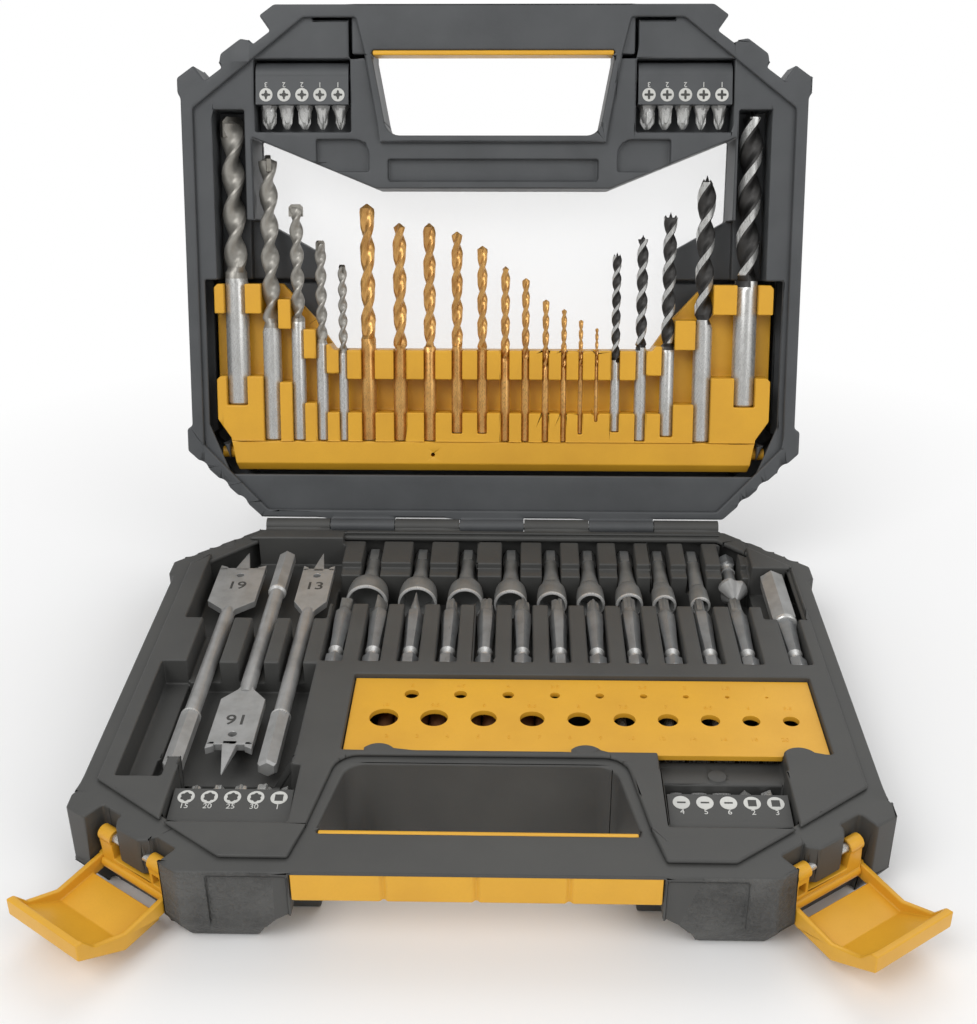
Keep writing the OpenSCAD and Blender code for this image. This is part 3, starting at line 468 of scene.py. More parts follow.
# the power bits and the magnetic holder lie in slots of the tray, which are made longer for them
powerBits = {"first": -57, "pitch": 14.1, "end": 105.4, "height": -3.6, "length": 50}
magnet = {"u": 115.8, "end": 105.4, "height": -3.6, "sleeve": 32.4, "top": 67.4, "radius": 5.1}
slots = {"half": hexCorner + 0.3, "from": 101.9, "to": 107, "floor": -7.025, "clear": 3}
slotMiddles = [powerBits["first"] + powerBits["pitch"] * index for index in range(12)]
slotMiddles.append(magnet["u"])
gaugeLedge = ((-47, 115.3, -2.18), (116.6, 120, 3))  # room for the gauge plate's back edge
spadeDoor = ((-99.6, 163, -11.9), (-62.5, 168.8, 3))  # opens the spade bay to the insert bits
extras = {  # corner radii and their ranges, slots made longer and cuts, in mm from hinge and rim
    "base_shell": {"corners": [(6, (40, 60), (163, 169))]},
    "base_tray": {"corners": [(7, (40, 66), (160.5, 166.5))],
                  "pockets": [((u - slots["half"], slots["from"], slots["floor"]),
                               (u + slots["half"], slots["to"], slots["clear"]))
                              for u in slotMiddles],
                  "cuts": [gaugeLedge, spadeDoor]},
    "lid_shell": {"corners": [(5, (30, 60), (163, 169))]},
    "lid_liner": {"corners": [(6, (30, 66), (158, 166.5))]}}
footPanel = {"from": 0.064, "to": 0.095, "deep": 0.006, "smallest": 2e-6, "facing": 0.7}  # in m
for node, (radius, material) in mouldedEdges.items():
    half = {"base": "base", "lid": "lid", "drill": "lid"}.get(node.split("_")[0])
    piece = softenedNode(node, radius, material, half, **extras.get(node, {}))
    if node == "base_shell":
        # the panels on the front feet are grained
        piece.data.materials.append(roughPlastic)
        front = min(vert.co.y for vert in piece.data.vertices)
        for face in piece.data.polygons:
            if (face.normal.y < -footPanel["facing"] and face.center.y < front + footPanel["deep"]
                    and footPanel["from"] < abs(face.center.x) < footPanel["to"]
                    and face.area > footPanel["smallest"]):
                face.material_index = 1
print("moulded parts rounded")

plate = {"left": -46.6, "right": 116.2, "back": 115.8, "front": 159.2, "top": -0.2, "thick": 2,
         "bigRow": 23.6, "smallRow": 9.6, "notch": 6.3, "notchOut": 3.1,
         "notches": (0.075, 0.5, 0.935), "edge": 0.22}
bigHoles = {10 - index / 2: along for index, along in enumerate(
    (12.1, 29.6, 46.8, 63.6, 79.9, 95.6, 110.6, 125.2, 139.3, 153))}
smallHoles = {5 - index / 2: along for index, along in enumerate(
    (20.8, 38.2, 55.2, 71.8, 87.7, 103.2, 118.2, 132.8, 146.8))}
piece = blockSet([((plate["left"], plate["back"], plate["top"] - plate["thick"]),
                   (plate["right"], plate["front"], plate["top"]))])
holes = []
for row, sizes in ((plate["bigRow"], bigHoles), (plate["smallRow"], smallHoles)):
    for size, along in sizes.items():
        holes.append((plate["left"] + along, plate["back"] + row, size / 2))
for share in plate["notches"]:
    holes.append((plate["left"] + share * (plate["right"] - plate["left"]),
                  plate["front"] + plate["notch"] - plate["notchOut"], plate["notch"]))
cutters = []
for u, away, radius in holes:
    bpy.ops.mesh.primitive_cylinder_add(vertices=48, radius=radius, depth=12,
                                        location=(u, -away, 0))
    cutters.append(placed(bpy.context.object, basePlace))
combine(piece, joinPieces(cutters), "DIFFERENCE")
useModifier(piece, "BEVEL", width=plate["edge"] * mm, segments=2, limit_method="ANGLE",
            angle_limit=math.radians(40))
giveFinish(piece, yellowPlastic)
piece.name = piece.data.name = "gauge_plate_moulded"
evenShading(piece, 30)
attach(piece, nodeBody["gauge_plate"])
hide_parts("gauge_plate")
print("gauge plate made")


# twist drills

drillRow = {"ledge": 36.95, "centre": 1.1, "front": 5.2, "firstTurn": 40, "turnStep": 67}
# kind, diameter, length, gap to the next, seat above the ledge, fluted length
drills = [
    ("masonry", 10, 120, 6, 15.5, 68), ("masonry", 8, 120, 4.7, 0, 73),
    ("masonry", 6, 100, 4.7, 0, 50), ("masonry", 5, 85, 4.8, 0, 44),
    ("masonry", 4, 75, 5.6, 0, 38), ("metal", 6.5, 101, 7.5, 0, 60),
    ("metal", 6, 93, 7.1, 0, 56), ("metal", 5.5, 93, 6.6, 0, 55), ("metal", 5, 86, 6.1, 3.5, 51),
    ("metal", 4.5, 80, 5.7, 3.5, 46), ("metal", 4, 75, 5, 0, 41), ("metal", 3.5, 70, 5.4, 0, 36),
    ("metal", 3, 61, 5.1, 0, 30), ("metal", 2.5, 57, 5, 0, 26), ("metal", 2, 49, 5.1, 3.5, 21),
    ("metal", 1.5, 40, 5.4, 9, 17), ("wood", 4, 75, 6.4, 4.5, 46), ("wood", 5, 86, 6, 0.5, 48),
    ("wood", 6, 93, 8.1, 2.5, 57), ("wood", 8, 110, 9.1, 0, 61), ("wood", 10, 121, 0, 15.5, 72)]
# radius of the fluted section every 15 degrees over half a turn, as a share of the full radius,
# then the length of one turn and the height of the point, as shares of the diameter
fluteForms = {
    "masonry": {"section": (1, .97, .9, .78, .66, .57, .52, .5, .52, .6, .74, .92),
                "pitch": 3.3, "tip": 0.18},
    "metal": {"section": (1, .95, .95, .94, .9, .76, .55, .42, .38, .44, .58, .84),
              "pitch": 4.6, "tip": 0.3},
    "wood": {"section": (1, .97, .96, .94, .84, .62, .48, .42, .4, .46, .6, .86),
             "pitch": 3.9, "tip": 0.06}}
fluteFinishes = {"masonry": sandedSteel, "metal": goldCoat, "wood": blackOxide}
tipFinishes = {"masonry": carbide, "wood": blackOxide}
# how round the section is after each step from the flutes to the shank, and the step's length
runOut = ((0.35, 0.25), (0.75, 0.25), (1.0, 0.2))
runOutLength = sum(drop for blend, drop in runOut)
drillShape = {  # shares of the diameter, but metalShank is a share of the whole length
    "chamfer": 0.06, "chamferEnd": 0.88, "flatTip": 0.12, "woodDip": 0.1, "woodDipEnd": 0.5,
    "pointRadius": 0.17, "pointLength": 0.5, "pointMiddle": 0.2,
    "spurRadius": 0.16, "spurEnd": 0.02, "spurLength": 0.24, "spurSide": 0.36, "spurMiddle": 0.1,
    "bladeWidth": 1.0, "bladeThick": 0.24, "bladeLength": 0.86, "bladeMiddle": 0.3,
    "bladeBevel": 0.2, "land": 0.455, "metalShank": 0.2, "otherShank": -0.55}
ringCount = 24
stepsPerTurn = 18
near = 0.001  # in mm


def drawOut(height, share=1):
    # extrudes what is selected along Z, and narrows it
    bpy.ops.mesh.extrude_region_move(TRANSFORM_OT_translate={"value": (0, 0, height)})
    if share != 1:
        bpy.ops.transform.resize(value=(share, share, 1), center_override=(0, 0, 0))


def twistDrill(kind, size, length, fluted):
    form = fluteForms[kind]
    radius = size / 2
    bpy.ops.mesh.primitive_circle_add(vertices=ringCount, radius=radius, fill_type="NOTHING")
    piece = bpy.context.object
    startEdit(piece)
    for step, share in enumerate(form["section"]):
        pick(lambda vert: vert.index % (ringCount // 2) == step)
        bpy.ops.transform.resize(value=(share, share, 1), center_override=(0, 0, 0))
    endEdit()
    tipHeight = form["tip"] * size
    body = fluted - tipHeight - size * runOutLength
    turns = body / (form["pitch"] * size)
    steps = max(8, round(turns * stepsPerTurn))
    useModifier(piece, "SCREW", axis="Z", angle=2 * math.pi * turns, screw_offset=body,
                steps=steps, render_steps=steps, use_smooth_shade=False)
    top, bottom = body, 0
    startEdit(piece)
    # the flutes run out into the round shank
    for blend, drop in runOut:
        pick(lambda vert: abs(vert.co.z - bottom) < near)
        drawOut(-drop * size)
        bottom -= drop * size
        for step, share in enumerate(form["section"]):
            angle = math.radians(360 / ringCount * step)

            def onRay(vert):
                if abs(vert.co.z - bottom) > near:
                    return False
                side = abs(vert.co.x * math.sin(angle) - vert.co.y * math.cos(angle))
                return side < 0.05 * radius
            wanted = (share + (1 - share) * blend) * radius
            if pick(onRay):
                mesh = bmesh.from_edit_mesh(piece.data)
                now = next(v.co for v in mesh.verts if v.select)
                grow = wanted / math.hypot(now.x, now.y)
                bpy.ops.transform.resize(value=(grow, grow, 1), center_override=(0, 0, 0))
    # shank with a small chamfer
    shankEnd = body + tipHeight - length
    chamferStart = shankEnd + drillShape["chamfer"] * size
    for height, share in ((chamferStart, 1), (shankEnd, drillShape["chamferEnd"])):
        pick(lambda vert: abs(vert.co.z - bottom) < near)
        drawOut(height - bottom, share)
        bottom = height
    bpy.ops.mesh.edge_face_add()
    # the point
    pick(lambda vert: abs(vert.co.z - top) < near)
    if kind == "wood":
        drawOut(tipHeight)
        drawOut(-drillShape["woodDip"] * size, drillShape["woodDipEnd"])
    else:
        drawOut(tipHeight, drillShape["flatTip"])
    bpy.ops.mesh.edge_face_add()
    bpy.ops.mesh.select_all(action="SELECT")
    bpy.ops.mesh.normals_make_consistent(inside=False)
    endEdit()
    parts = [piece]
    if kind == "wood":
        # a centre point and two spurs
        bpy.ops.mesh.primitive_cone_add(
            vertices=12, radius1=drillShape["pointRadius"] * size, radius2=0,
            depth=drillShape["pointLength"] * size,
            location=(0, 0, top + drillShape["pointMiddle"] * size))
        parts.append(bpy.context.object)
        for side in (-1, 1):
            bpy.ops.mesh.primitive_cone_add(
                vertices=4, radius1=drillShape["spurRadius"] * size,
                radius2=drillShape["spurEnd"] * size, depth=drillShape["spurLength"] * size,
                location=(side * drillShape["spurSide"] * size, 0,
                          top + drillShape["spurMiddle"] * size))
            parts.append(bpy.context.object)
    if kind == "masonry":
        # a carbide blade across the point
        bpy.ops.mesh.primitive_cube_add(
            size=1, location=(0, 0, top + tipHeight - drillShape["bladeMiddle"] * size),
            scale=(drillShape["bladeWidth"] * size, drillShape["bladeThick"] * size,
                   drillShape["bladeLength"] * size))
        blade = bpy.context.object
        bpy.ops.object.transform_apply(location=True, rotation=True, scale=True)
        startEdit(blade, "EDGE")
        crown = max(v.co.z for v in blade.data.vertices)

        def topEnd(edge):
            middle = (edge.verts[0].co + edge.verts[1].co) / 2
            return middle.z > crown - 0.01 and abs(middle.x) > 0.3 * size
        pick(topEnd, "edges")
        bpy.ops.mesh.bevel(offset=drillShape["bladeBevel"] * size, segments=1)
        endEdit()
        parts.append(blade)
    return parts, shankEnd


def paintDrill(piece, kind, size, shankTop):
    # shanks stay bright, and the wood drills' ground lands too
    giveFinish(piece, fluteFinishes[kind], brightSteel)
    for face in piece.data.polygons:
        middle = face.center
        fromAxis = math.hypot(middle.x, middle.y)
        ground = kind == "wood" and fromAxis > drillShape["land"] * size
        if middle.z < shankTop or ground:
            face.material_index = 1


across = 0
lastDrill = len(drills) - 1
reach = sum((drills[i][1] + drills[i + 1][1]) / 2 + drills[i][3] for i in range(lastDrill))
for index, (kind, size, length, gap, seat, fluted) in enumerate(drills):
    name = f"{kind}_drill_{str(size).replace('.', '_')}"
    parts, shankEnd = twistDrill(kind, size, length, fluted)
    if kind == "metal":
        shankTop = shankEnd + drillShape["metalShank"] * length
    else:
        shankTop = drillShape["otherShank"] * size
    paintDrill(parts[0], kind, size, shankTop)
    for extra in parts[1:]:
        giveFinish(extra, tipFinishes[kind])
    place = lidPlace @ shifted(across - reach / 2 - drillRow["centre"],
                               drillRow["front"] + size / 2, drillRow["ledge"] + seat - shankEnd)
    spin = turned("Z", drillRow["firstTurn"] + drillRow["turnStep"] * index)
    layOut([placed(joinPieces(parts), place @ spin)], name, "_twist", 35)
    if index < lastDrill:
        across += (size + drills[index + 1][1]) / 2 + gap
print("drills made")


# bits, countersink and magnetic holder

# shares of the full radius round one repeat of the section
sections = {
    "round": (1,), "hex": (1, .897, .866, .897), "cross": (1, .9, .5, .36, .5, .9),
    "ribbedCross": (1, .84, .44, .58, .44, .84), "star": (1, .9, .76, .9),
    "square": (1, .816, .732, .707, .732, .816), "flutes": (1, 1, 1, .99, .96, .8, .76, .9),
    "softHex": (1, .93, .9, .93)}


def profiledBar(rings, section="round", sides=24, turn=0):
    # a closed bar along Z, its rings given as height and radius, or height, width and depth
    shares = sections[section]
    bpy.ops.mesh.primitive_circle_add(vertices=sides, radius=1, fill_type="NGON")
    piece = bpy.context.object
    startEdit(piece)
    for step, share in enumerate(shares):
        if share != 1:
            pick(lambda vert: vert.index % len(shares) == step)
            bpy.ops.transform.resize(value=(share, share, 1), center_override=(0, 0, 0))
    bpy.ops.mesh.select_all(action="SELECT")
    if turn:
        bpy.ops.transform.rotate(value=math.radians(turn), orient_axis="Z",
                                 center_override=(0, 0, 0))
    rings = [(*ring, ring[1])[:3] for ring in rings]
    height, width, depth = rings[0]
    bpy.ops.transform.resize(value=(width, depth, 1), center_override=(0, 0, 0))
    bpy.ops.transform.translate(value=(0, 0, height))
    for ring in rings[1:]:
        drawOut(ring[0] - height)
        bpy.ops.transform.resize(value=(ring[1] / width, ring[2] / depth, 1),
                                 center_override=(0, 0, 0))
        height, width, depth = ring
    bpy.ops.mesh.select_all(action="SELECT")
    bpy.ops.mesh.normals_make_consistent(inside=False)
    endEdit()
    return piece


def bitTip(kind, size, start, end):
    # the driving tip, on a turned neck that starts inside the bit's body
    if kind == "slotted":
        return [profiledBar([(start, 2.8, 2.8), (start + 2, size / 2, 2.2),
                             (end - 4.5, size / 2, 1.2), (end, size / 2, 0.4)])]
    if kind in ("cross", "ribbedCross"):
        neck = profiledBar([(start, 3.0), (start + 3, size * 0.46), (end - 2.6, size * 0.3)])
        tip = profiledBar([(start + 1.5, size * 0.5), (end - 2.6, size * 0.48),
                           (end - 0.4, size * 0.24), (end, size * 0.14)], kind)
        return [neck, tip]
    neck = profiledBar([(start, 3.0), (start + 2.5, min(2.9, size / 2 + 0.35)),
                        (start + 3, size / 2 - 0.3)])
    tip = profiledBar([(start + 2, size / 2), (end - 0.5, size / 2), (end, size / 2 - 0.35)], kind)
    return [neck, tip]


def quickChangeEnd():
    # hex with chamfers, and its turned groove
    end = profiledBar([(0, 2.7), (0.9, hexCorner), (6.8, hexCorner), (7.6, 2.9)], "hex")
    groove = profiledBar([(7.3, 2.9), (8.4, 2.25), (9.4, 2.25), (11.6, 3.0)])
    return end, groove


def baseSpot(u, away, height, roll=0):
    # a bar drawn along Z is laid towards the hinge from the given place in the base
    return basePlace @ shifted(u, -away, height) @ turned("X", -90) @ turned("Z", roll)


def lidSpot(u, away, depth, roll):
    # the same in the lid
    return lidPlace @ shifted(u, depth, away) @ turned("X", 180) @ turned("Z", roll)


powerKinds = {  # kind of tip, size in mm across it, roll in degrees
    "power_bits_slotted": [("slotted", 4.6, 8), ("slotted", 5.6, 52), ("slotted", 6.6, 84)],
    "power_bits_cross": [("cross", 4.6, 20), ("cross", 5.9, 40), ("cross", 6.2, 10),
                         ("cross", 5.9, 32), ("cross", 4.8, 5)],
    "power_bits_star": [("star", 5.4, 12), ("star", 4.4, 0), ("star", 3.8, 20), ("star", 4.9, 8)]}


def powerBit(kind, size):
    end, groove = quickChangeEnd()
    body = profiledBar([(11, 2.7), (13, 2.75), (20, 2.95), (27, 3.4), (32, 3.62), (37.5, 3.62),
                        (39.4, 2.8)], "softHex")
    tip = bitTip(kind, size, 38.4, powerBits["length"])
    # the groove takes the light steel, which paints its highlight
    return finishPieces([end, groove, body] + tip,
                        [bitSteel, polishAndHighlightSteel, bitSteel] + [darkSteel] * len(tip))


spot = 0
for node, bits in powerKinds.items():
    made = []
    for kind, size, roll in bits:
        u = powerBits["first"] + spot * powerBits["pitch"]
        place = baseSpot(u, powerBits["end"], powerBits["height"], roll)
        made.append(placed(powerBit(kind, size), place))
        spot += 1
    layOut(made, node)

insertBits = {"side": 79.4, "pitch": 7.5, "end": 193.5, "depth": 8.5, "length": 25,
              "firstRoll": 7, "rollStep": 25}
insertKinds = {
    "base_left": [("star", 3.3), ("star", 3.9), ("star", 4.4), ("star", 5.5), ("square", 3.4)],
    "base_right": [("slotted", 4), ("slotted", 5), ("slotted", 6), ("square", 4.0),
                   ("square", 4.7)],
    "lid_left": [("ribbedCross", 6.4), ("ribbedCross", 5.9), ("ribbedCross", 5.9),
                 ("ribbedCross", 4.6), ("ribbedCross", 4.6)],
    "lid_right": [("cross", 6.4), ("cross", 5.9), ("cross", 5.9), ("cross", 4.6), ("cross", 4.6)]}
for half, bits in insertKinds.items():
    made = []
    for index, (kind, size) in enumerate(bits):
        shank = profiledBar([(0, 3.0), (0.6, hexCorner), (15.6, hexCorner), (17.4, 3.0)],
                            "hex", turn=30)
        tip = bitTip(kind, size, 16.6, insertBits["length"])
        bit = finishPieces([shank] + tip, [greySteel] + [brightSteel] * len(tip))
        side = insertBits["side"] * (-1 if "left" in half else 1)
        u = side + (index - 2) * insertBits["pitch"]
        roll = insertBits["rollStep"] * index + insertBits["firstRoll"]
        if half.startswith("base"):
            roll = 0 if kind == "slotted" else roll
            place = baseSpot(u, insertBits["end"], -insertBits["depth"], roll)
        else:
            place = lidSpot(u, insertBits["end"], insertBits["depth"], roll)
        made.append(placed(bit, place))
    layOut(made, "insert_bits_" + half)

sink = {"u": 100.4, "start": 12.5, "height": -9, "radius": 6.1}
end, groove = quickChangeEnd()
neck = profiledBar([(11, 2.4), (21.5, 2.5)])
head = profiledBar([(20.5, 2.4), (24.5, sink["radius"]), (26.4, sink["radius"]), (34.2, 0.8)],
                   "flutes", turn=-20)
# the groove's light steel paints its highlight
piece = finishPieces([end, groove, neck, head], [bitSteel, polishAndHighlightSteel, bitSteel, greySteel])
flip = turned("X", 180)
layOut([placed(piece, baseSpot(sink["u"], sink["start"], sink["height"]) @ flip)], "countersink")

sleeveStart, sleeveTop = magnet["sleeve"], magnet["top"]
end, groove = quickChangeEnd()
body = profiledBar([(11, 2.7), (13, 2.8), (24, 3.5), (sleeveStart + 0.5, 4.0)], "softHex")
ring = profiledBar([(sleeveStart - 0.5, 4.4), (sleeveStart, 4.85), (sleeveStart + 1.4, 4.85),
                    (sleeveStart + 1.9, 4.5)])
sleeve = profiledBar([(sleeveStart + 1.5, 4.55), (sleeveStart + 2.3, magnet["radius"]),
                      (sleeveTop - 0.7, magnet["radius"]), (sleeveTop, 4.3)], "hex", turn=15)
startEdit(sleeve, "FACE")
pick(lambda face: face.calc_center_median().z > sleeveTop - 0.01, "faces")
bpy.ops.mesh.inset(thickness=1.0)
drawOut(-12)
endEdit()
# the groove's light steel paints its highlight; the ring is polished steel
piece = finishPieces([end, groove, body, ring, sleeve],
                     [bitSteel, polishAndHighlightSteel, bitSteel, polishAndHighlightSteel, greySteel])
place = baseSpot(magnet["u"], magnet["end"], magnet["height"], 8)
layOut([placed(piece, place)], "magnetic_bit_holder")
print("bits made")


# sockets and spade bits

sockets = {  # head diameter and nut size across flats, and place across the case
    "sockets_large": [(17.2, 13, -50), (16, 12, -29.3), (14.8, 11, -9.8)],
    "sockets_medium": [(13.6, 10, 8.7), (12.4, 9, 25.6), (11.6, 8, 41.4)],
    "sockets_small": [(11.2, 7, 57.1), (9.8, 6, 71.3), (8.2, 5, 85.9)]}
socketShape = {"mouth": 50.6, "height": -9, "head": 13, "bore": 9, "total": 41.1, "rim": 0.9}


def socketHead(outer, nut):
    # drawn from the mouth along Z
    radius = outer / 2
    nutCorner = cornerOf(nut)
    headEnd = socketShape["head"]
    head = profiledBar([(0, radius - 0.75), (0.35, radius - 0.15), (1, radius), (7, radius - 0.15),
                        (10.5, radius * 0.92), (headEnd, radius * 0.76), (14.2, radius * 0.5)],
                       sides=48)
    # the rim of the mouth takes the light steel
    giveFinish(head, darkSteel, polishAndHighlightSteel)
    for face in head.data.polygons:
        if face.center.z < socketShape["rim"]:
            face.material_index = 1
    mouthCone = profiledBar([(-0.5, radius - 0.8), (0.5, radius - 1.1), (2.6, nutCorner * 0.88)],
                            sides=48)
    nutHole = profiledBar([(-0.6, nutCorner), (socketShape["bore"], nutCorner)], sides=6)
    # the faces cut inside the socket take the darker steel, painted shade in the bore
    for tool in (mouthCone, nutHole):
        giveFinish(tool, boreShadeSteel)
        combine(head, tool, "DIFFERENCE")
    flare = max(3.05, min(radius * 0.7, 4.1))
    shank = profiledBar([(headEnd, flare), (15, flare), (24, 3.1), (34, 3.0)])
    looseHex = hexCorner * 0.97
    hexEnd = profiledBar([(32, looseHex), (socketShape["total"] - 0.8, looseHex),
                          (socketShape["total"], 3.0)], "hex", turn=30)
    giveFinish(shank, darkSteel)
    giveFinish(hexEnd, darkSteel)
    return joinPieces([head, shank, hexEnd])


for node, heads in sockets.items():
    made = []
    for outer, nut, u in heads:
        place = baseSpot(u, socketShape["mouth"], socketShape["height"])
        made.append(placed(socketHead(outer, nut), place))
    layOut(made, node)

blades = {  # width, place across, where the shank ends, and whether it points away from the hinge
    "spade_bit_19": (19, -103.5, 163.5, False), "spade_bit_16": (16, -86.4, 20.5, True),
    "spade_bit_13": (13, -71.6, 163.5, False)}
bladeShape = {"length": 146, "height": -4.5, "thick": 2.8, "spurs": 13.6, "hole": 20.5,
              "shoulder": 41, "neck": 48, "shank": 2.9, "number": 29, "edgeShare": 0.3,
              "edgeNarrowed": 0.28, "spurRise": 1.5, "holeRadius": 1.5}
squareCorner = math.sqrt(2)  # a square bar's corner for a half width of 1


def flatBar(rings):
    # flat bar along Z, its rings given as height, half width and half thickness
    return profiledBar([(z, w * squareCorner, t * squareCorner) for z, w, t in rings],
                       sides=4, turn=45)


def spadeBit(width):
    tip, half, thick = bladeShape["length"], width / 2, bladeShape["thick"] / 2
    spurs = tip - bladeShape["spurs"]
    neck = tip - bladeShape["neck"]
    shankRadius = bladeShape["shank"]
    blade = flatBar([(neck - 1.5, shankRadius * 0.7, thick), (neck + 1, shankRadius, thick),
                     (tip - bladeShape["shoulder"], half, thick), (spurs - 1.2, half, thick)])
    point = 0.12 * width + 0.5
    parts = [blade, flatBar([(spurs - 3, point, thick), (spurs - 0.6, point, thick),
                             (tip, 0.15, 0.3)])]
    edge, narrowed = bladeShape["edgeShare"] * width, bladeShape["edgeNarrowed"]
    for side in (-1, 1):
        # a cutting edge that rises from the notch by the point to the spur
        outer = flatBar([(spurs - 2.5, edge, thick), (spurs - 0.3, edge, thick)])
        startEdit(outer)
        bpy.ops.mesh.select_all(action="SELECT")
        bpy.ops.transform.resize(value=(narrowed, 1, 1), center_override=(0, 0, 0))
        bpy.ops.transform.translate(value=(side * (half - edge * narrowed), 0, 0))
        pick(lambda vert: vert.co.z > spurs - 1 and abs(vert.co.x) > half - 0.5)
        bpy.ops.transform.translate(value=(0, 0, bladeShape["spurRise"]))
        endEdit()
        parts.append(outer)
    bpy.ops.mesh.primitive_cylinder_add(vertices=24, radius=bladeShape["holeRadius"], depth=8,
                                        location=(0, 0, tip - bladeShape["hole"]),
                                        rotation=(math.pi / 2, 0, 0))
    hole = bpy.context.object
    bpy.ops.object.transform_apply(location=True, rotation=True, scale=True)
    combine(blade, hole, "DIFFERENCE")
    flat = joinPieces(parts)
    useModifier(flat, "BEVEL", width=0.18, segments=1, limit_method="ANGLE",
                angle_limit=math.radians(40))
    shank = profiledBar([(29.5, shankRadius), (neck - 3, shankRadius), (neck + 2, 2.1)])
    hexEnd = profiledBar([(0, 2.75), (0.9, hexCorner), (28.8, hexCorner)], "hex")
    collar = profiledBar([(28.6, hexCorner), (29.4, hexCorner), (30.4, shankRadius)])
    return finishPieces([flat, shank, hexEnd, collar],
                        [greySteel, greySteel, greySteel, polishAndHighlightSteel])


for node, (width, u, end, pointsAway) in blades.items():
    place = baseSpot(u, end, bladeShape["height"])
    layOut([placed(spadeBit(width), place @ flip if pointsAway else place)], node)
print("sockets and spade bits made")


# labels: discs with drive icons, and plain numbers

label = {"disc": 2.75, "raised": 0.12, "tilt": math.degrees(math.atan(1.5 / 11.5)), "edge": 178,
         "sunk": 1, "icon": 0.08, "iconRadius": 1.95, "bladeRadius": 1.9, "bladeHalf": 0.42,
         "number": 3.0, "numberThick": 0.08, "discSunk": 0.03}
labels = {  # icon and number of each bit, and where the disc and the number are on the face
    "base_left": (["star"] * 4 + ["square"], ["15", "20", "25", "30", "1"], 3.6, 7.5),
    "base_right": (["slotted"] * 3 + ["square"] * 2, ["4", "5", "6", "2", "3"], 3.6, 7.5),
    "lid_left": (["ribbedCross"] * 5, ["3", "2", "2", "1", "1"], 3.9, 8.1),
    "lid_right": (["cross"] * 5, ["3", "2", "2", "1", "1"], 3.9, 8.1)}


def plainText(words, size, thick, material, bold=0):
    bpy.ops.object.text_add()
    piece = bpy.context.object
    piece.data.body = words
    piece.data.size = size
    piece.data.align_x = "CENTER"
    piece.data.align_y = "CENTER"
    piece.data.extrude = thick
    piece.data.offset = bold
    piece.data.resolution_u = 3
    makeActive(piece)
    bpy.ops.object.convert(target="MESH")
    piece = bpy.context.object
    giveFinish(piece, material)
    return piece


def labelPlace(half):
    side = insertBits["side"] * (-1 if "left" in half else 1)
    tilt = turned("X", label["tilt"])
    if half.startswith("base"):
        return basePlace @ shifted(side, -label["edge"], -label["sunk"]) @ tilt
    # the lid's labels read from the other side
    over = Matrix(((-1, 0, 0, 0), (0, 0, -1, 0), (0, -1, 0, 0), (0, 0, 0, 1)))
    return lidPlace @ shifted(side, label["sunk"], label["edge"]) @ over @ tilt


for half, (icons, numbers, discAt, numberAt) in labels.items():
    flipped = -1 if half.startswith("lid") else 1
    made = []
    for index, (icon, number) in enumerate(zip(icons, numbers)):
        x = (index - 2) * insertBits["pitch"] * flipped
        raised = label["raised"]
        iconTop = raised + label["icon"]
        disc = profiledBar([(0, label["disc"]), (raised, label["disc"])], sides=32)
        if icon == "slotted":
            wide, narrow = label["bladeRadius"], label["bladeHalf"]
            sign = profiledBar([(0, wide, narrow), (iconTop, wide, narrow)], "square", turn=45)
        elif icon == "square":
            wide = label["bladeRadius"]
            sign = profiledBar([(0, wide), (iconTop, wide)], "square", turn=45)
        else:
            wide = label["iconRadius"]
            sign = profiledBar([(0, wide), (iconTop, wide)], icon)
        mark = finishPieces([disc, sign], [labelWhite, labelDark])
        made.append(placed(mark, labelPlace(half) @ shifted(x, -discAt, -label["discSunk"])))
        words = plainText(number, label["number"], label["numberThick"], labelGrey)
        made.append(placed(words, labelPlace(half) @ shifted(x, -numberAt, 0)))
    piece = joinPieces(made)
    piece.name = "labels_" + half
    smoothByAngle(piece, 30)
    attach(piece, nodeBody["bit_holder_" + half])

gaugeNumbers = {"size": 2.7, "thick": 0.12, "first": 14, "pitch": 10.4}
# numbers of a row, their places along the plate, and how far from its back edge they stand
gaugeMarks = [
    ([f"{size:g}" for size in bigHoles], bigHoles.values(), plate["bigRow"] - 7.4),
    ([f"{size:g}" for size in smallHoles], smallHoles.values(), plate["smallRow"] - 5.2),
    ([str(number) for number in (2, 3, 4, 5, 6, 7, 8, 9, 10, 12, 14, 16, 18, 20)],
     [gaugeNumbers["first"] + gaugeNumbers["pitch"] * index for index in range(14)],
     plate["bigRow"] + 10.6)]
made = []
for numbers, places, row in gaugeMarks:
    for number, along in zip(numbers, places):
        words = plainText(number, gaugeNumbers["size"], gaugeNumbers["thick"], yellowPlastic)
        place = shifted(plate["left"] + along, -(plate["back"] + row), plate["top"])
        made.append(placed(words, basePlace @ place))
piece = joinPieces(made)
piece.name = "gauge_numbers"
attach(piece, nodeBody["gauge_plate"])

bladeNumber = {"size": 8, "thick": 0.03, "bold": 0.1, "above": 0.01}
for node, (width, u, end, pointsAway) in blades.items():
    words = plainText(str(width), bladeNumber["size"], bladeNumber["thick"], labelDark,
                      bladeNumber["bold"])
    away = end + (bladeShape["length"] - bladeShape["number"]) * (1 if pointsAway else -1)
    face = bladeShape["height"] + bladeShape["thick"] / 2 + bladeNumber["above"]
    place = basePlace @ shifted(u, -away, face) @ turned("Z", 180 if pointsAway else 0)
    piece = placed(words, place)
    piece.name = node + "_number"
    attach(piece, nodeBody[node])
print("labels made")


# camera, floor and light

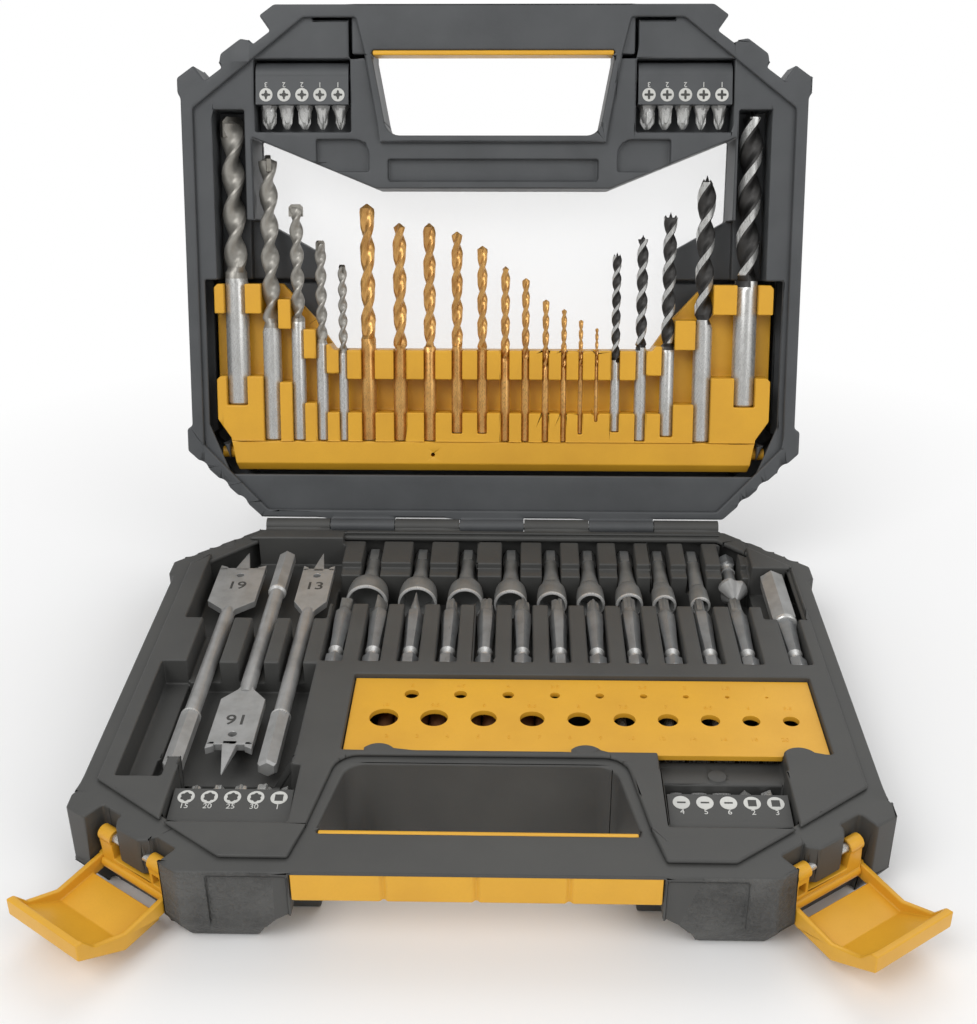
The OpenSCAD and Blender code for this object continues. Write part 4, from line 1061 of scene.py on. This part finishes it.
camera = {"place": (0.0123, -0.4154, 0.3141), "right": (0.99971, 0.02349, -0.00466),
          "up": (-0.00682, 0.46568, 0.88493), "forward": (-0.02296, 0.88464, -0.46570),
          "lens": 48.1, "farthest": 50}
bpy.ops.object.camera_add()
cameraPiece = bpy.context.object
backward = tuple(-x for x in camera["forward"])
turn = Matrix((camera["right"], camera["up"], backward)).transposed()
cameraPiece.matrix_world = Matrix.Translation(camera["place"]) @ turn.to_4x4()
cameraPiece.data.lens = camera["lens"]
cameraPiece.data.clip_end = camera["farthest"]
bpy.context.scene.camera = cameraPiece


def addMath(tree, operation, *values, kind="ShaderNodeMath", result=0):
    step = tree.nodes.new(kind)
    step.operation = operation
    for index, value in enumerate(values):
        tree.links.new(value, step.inputs[index])
    return step.outputs[result]


def blendedShaders(tree, amount, first, second, output):
    blend = tree.nodes.new("ShaderNodeMixShader")
    tree.links.new(amount, blend.inputs["Fac"])
    tree.links.new(first, blend.inputs[1])
    tree.links.new(second, blend.inputs[2])
    tree.links.new(blend.outputs["Shader"], tree.nodes[output].inputs["Surface"])


# the floor keeps the shadow near the case, and further out it is seen as white
floorFade = {"from": 0.17, "to": 0.42}  # in metres from the middle
floorFinish, tree, shader, coords = newMaterial("floorWhite")
shader.inputs["Base Color"].default_value = linear(244, 244, 244)
shader.inputs["Roughness"].default_value = 0.8
rays = tree.nodes.new("ShaderNodeLightPath").outputs
glow = tree.nodes.new("ShaderNodeEmission")
glow.inputs["Color"].default_value = (1, 1, 1, 1)
seen = addMath(tree, "MAXIMUM", rays["Is Camera Ray"], rays["Is Glossy Ray"])
seen = addMath(tree, "MAXIMUM", seen, rays["Is Transmission Ray"])
distance = addMath(tree, "LENGTH", coords, kind="ShaderNodeVectorMath", result="Value")
fade = addRange(tree, distance, 0, 1, floorFade["from"], floorFade["to"])
blendedShaders(tree, addMath(tree, "MULTIPLY", seen, fade), shader.outputs["BSDF"],
               glow.outputs["Emission"], "Material Output")

deselectAll()
bpy.ops.mesh.primitive_circle_add(vertices=64, radius=9, fill_type="NGON", location=(0, 0, -0.0002))
floor = bpy.context.object
floor.name = "floor"
giveFinish(floor, floorFinish)

world = bpy.data.worlds.new("studio")
bpy.context.scene.world = world
world.use_nodes = True
tree = world.node_tree
sky = tree.nodes["Background"]
sky.inputs["Color"].default_value = (1, 1, 1, 1)
sky.inputs["Strength"].default_value = 0.55
shown = tree.nodes.new("ShaderNodeBackground")
shown.inputs["Color"].default_value = (1, 1, 1, 1)
shown.inputs["Strength"].default_value = 1
rays = tree.nodes.new("ShaderNodeLightPath").outputs
blendedShaders(tree, rays["Is Camera Ray"], sky.outputs["Background"],
               shown.outputs["Background"], "World Output")

lamps = {  # place, power in watts, width in metres
    "keyLamp": ((-0.7, -0.9, 1.35), 11, 0.9), "fillLamp": ((0.95, -0.8, 0.9), 5, 0.9),
    "backLamp": ((0.2, 0.9, 1.3), 5, 1.0)}
lampTarget = Vector((0, 0.02, 0.08))
for name, (place, power, width) in lamps.items():
    bpy.ops.object.light_add(type="AREA", location=place)
    lamp = bpy.context.object
    lamp.name = name
    lamp.data.energy = power
    lamp.data.size = width
    aim = lampTarget - Vector(place)
    lamp.rotation_euler = aim.to_track_quat("-Z", "Y").to_euler()

bpy.context.scene.view_settings.view_transform = "Standard"
print("camera, floor and light set")
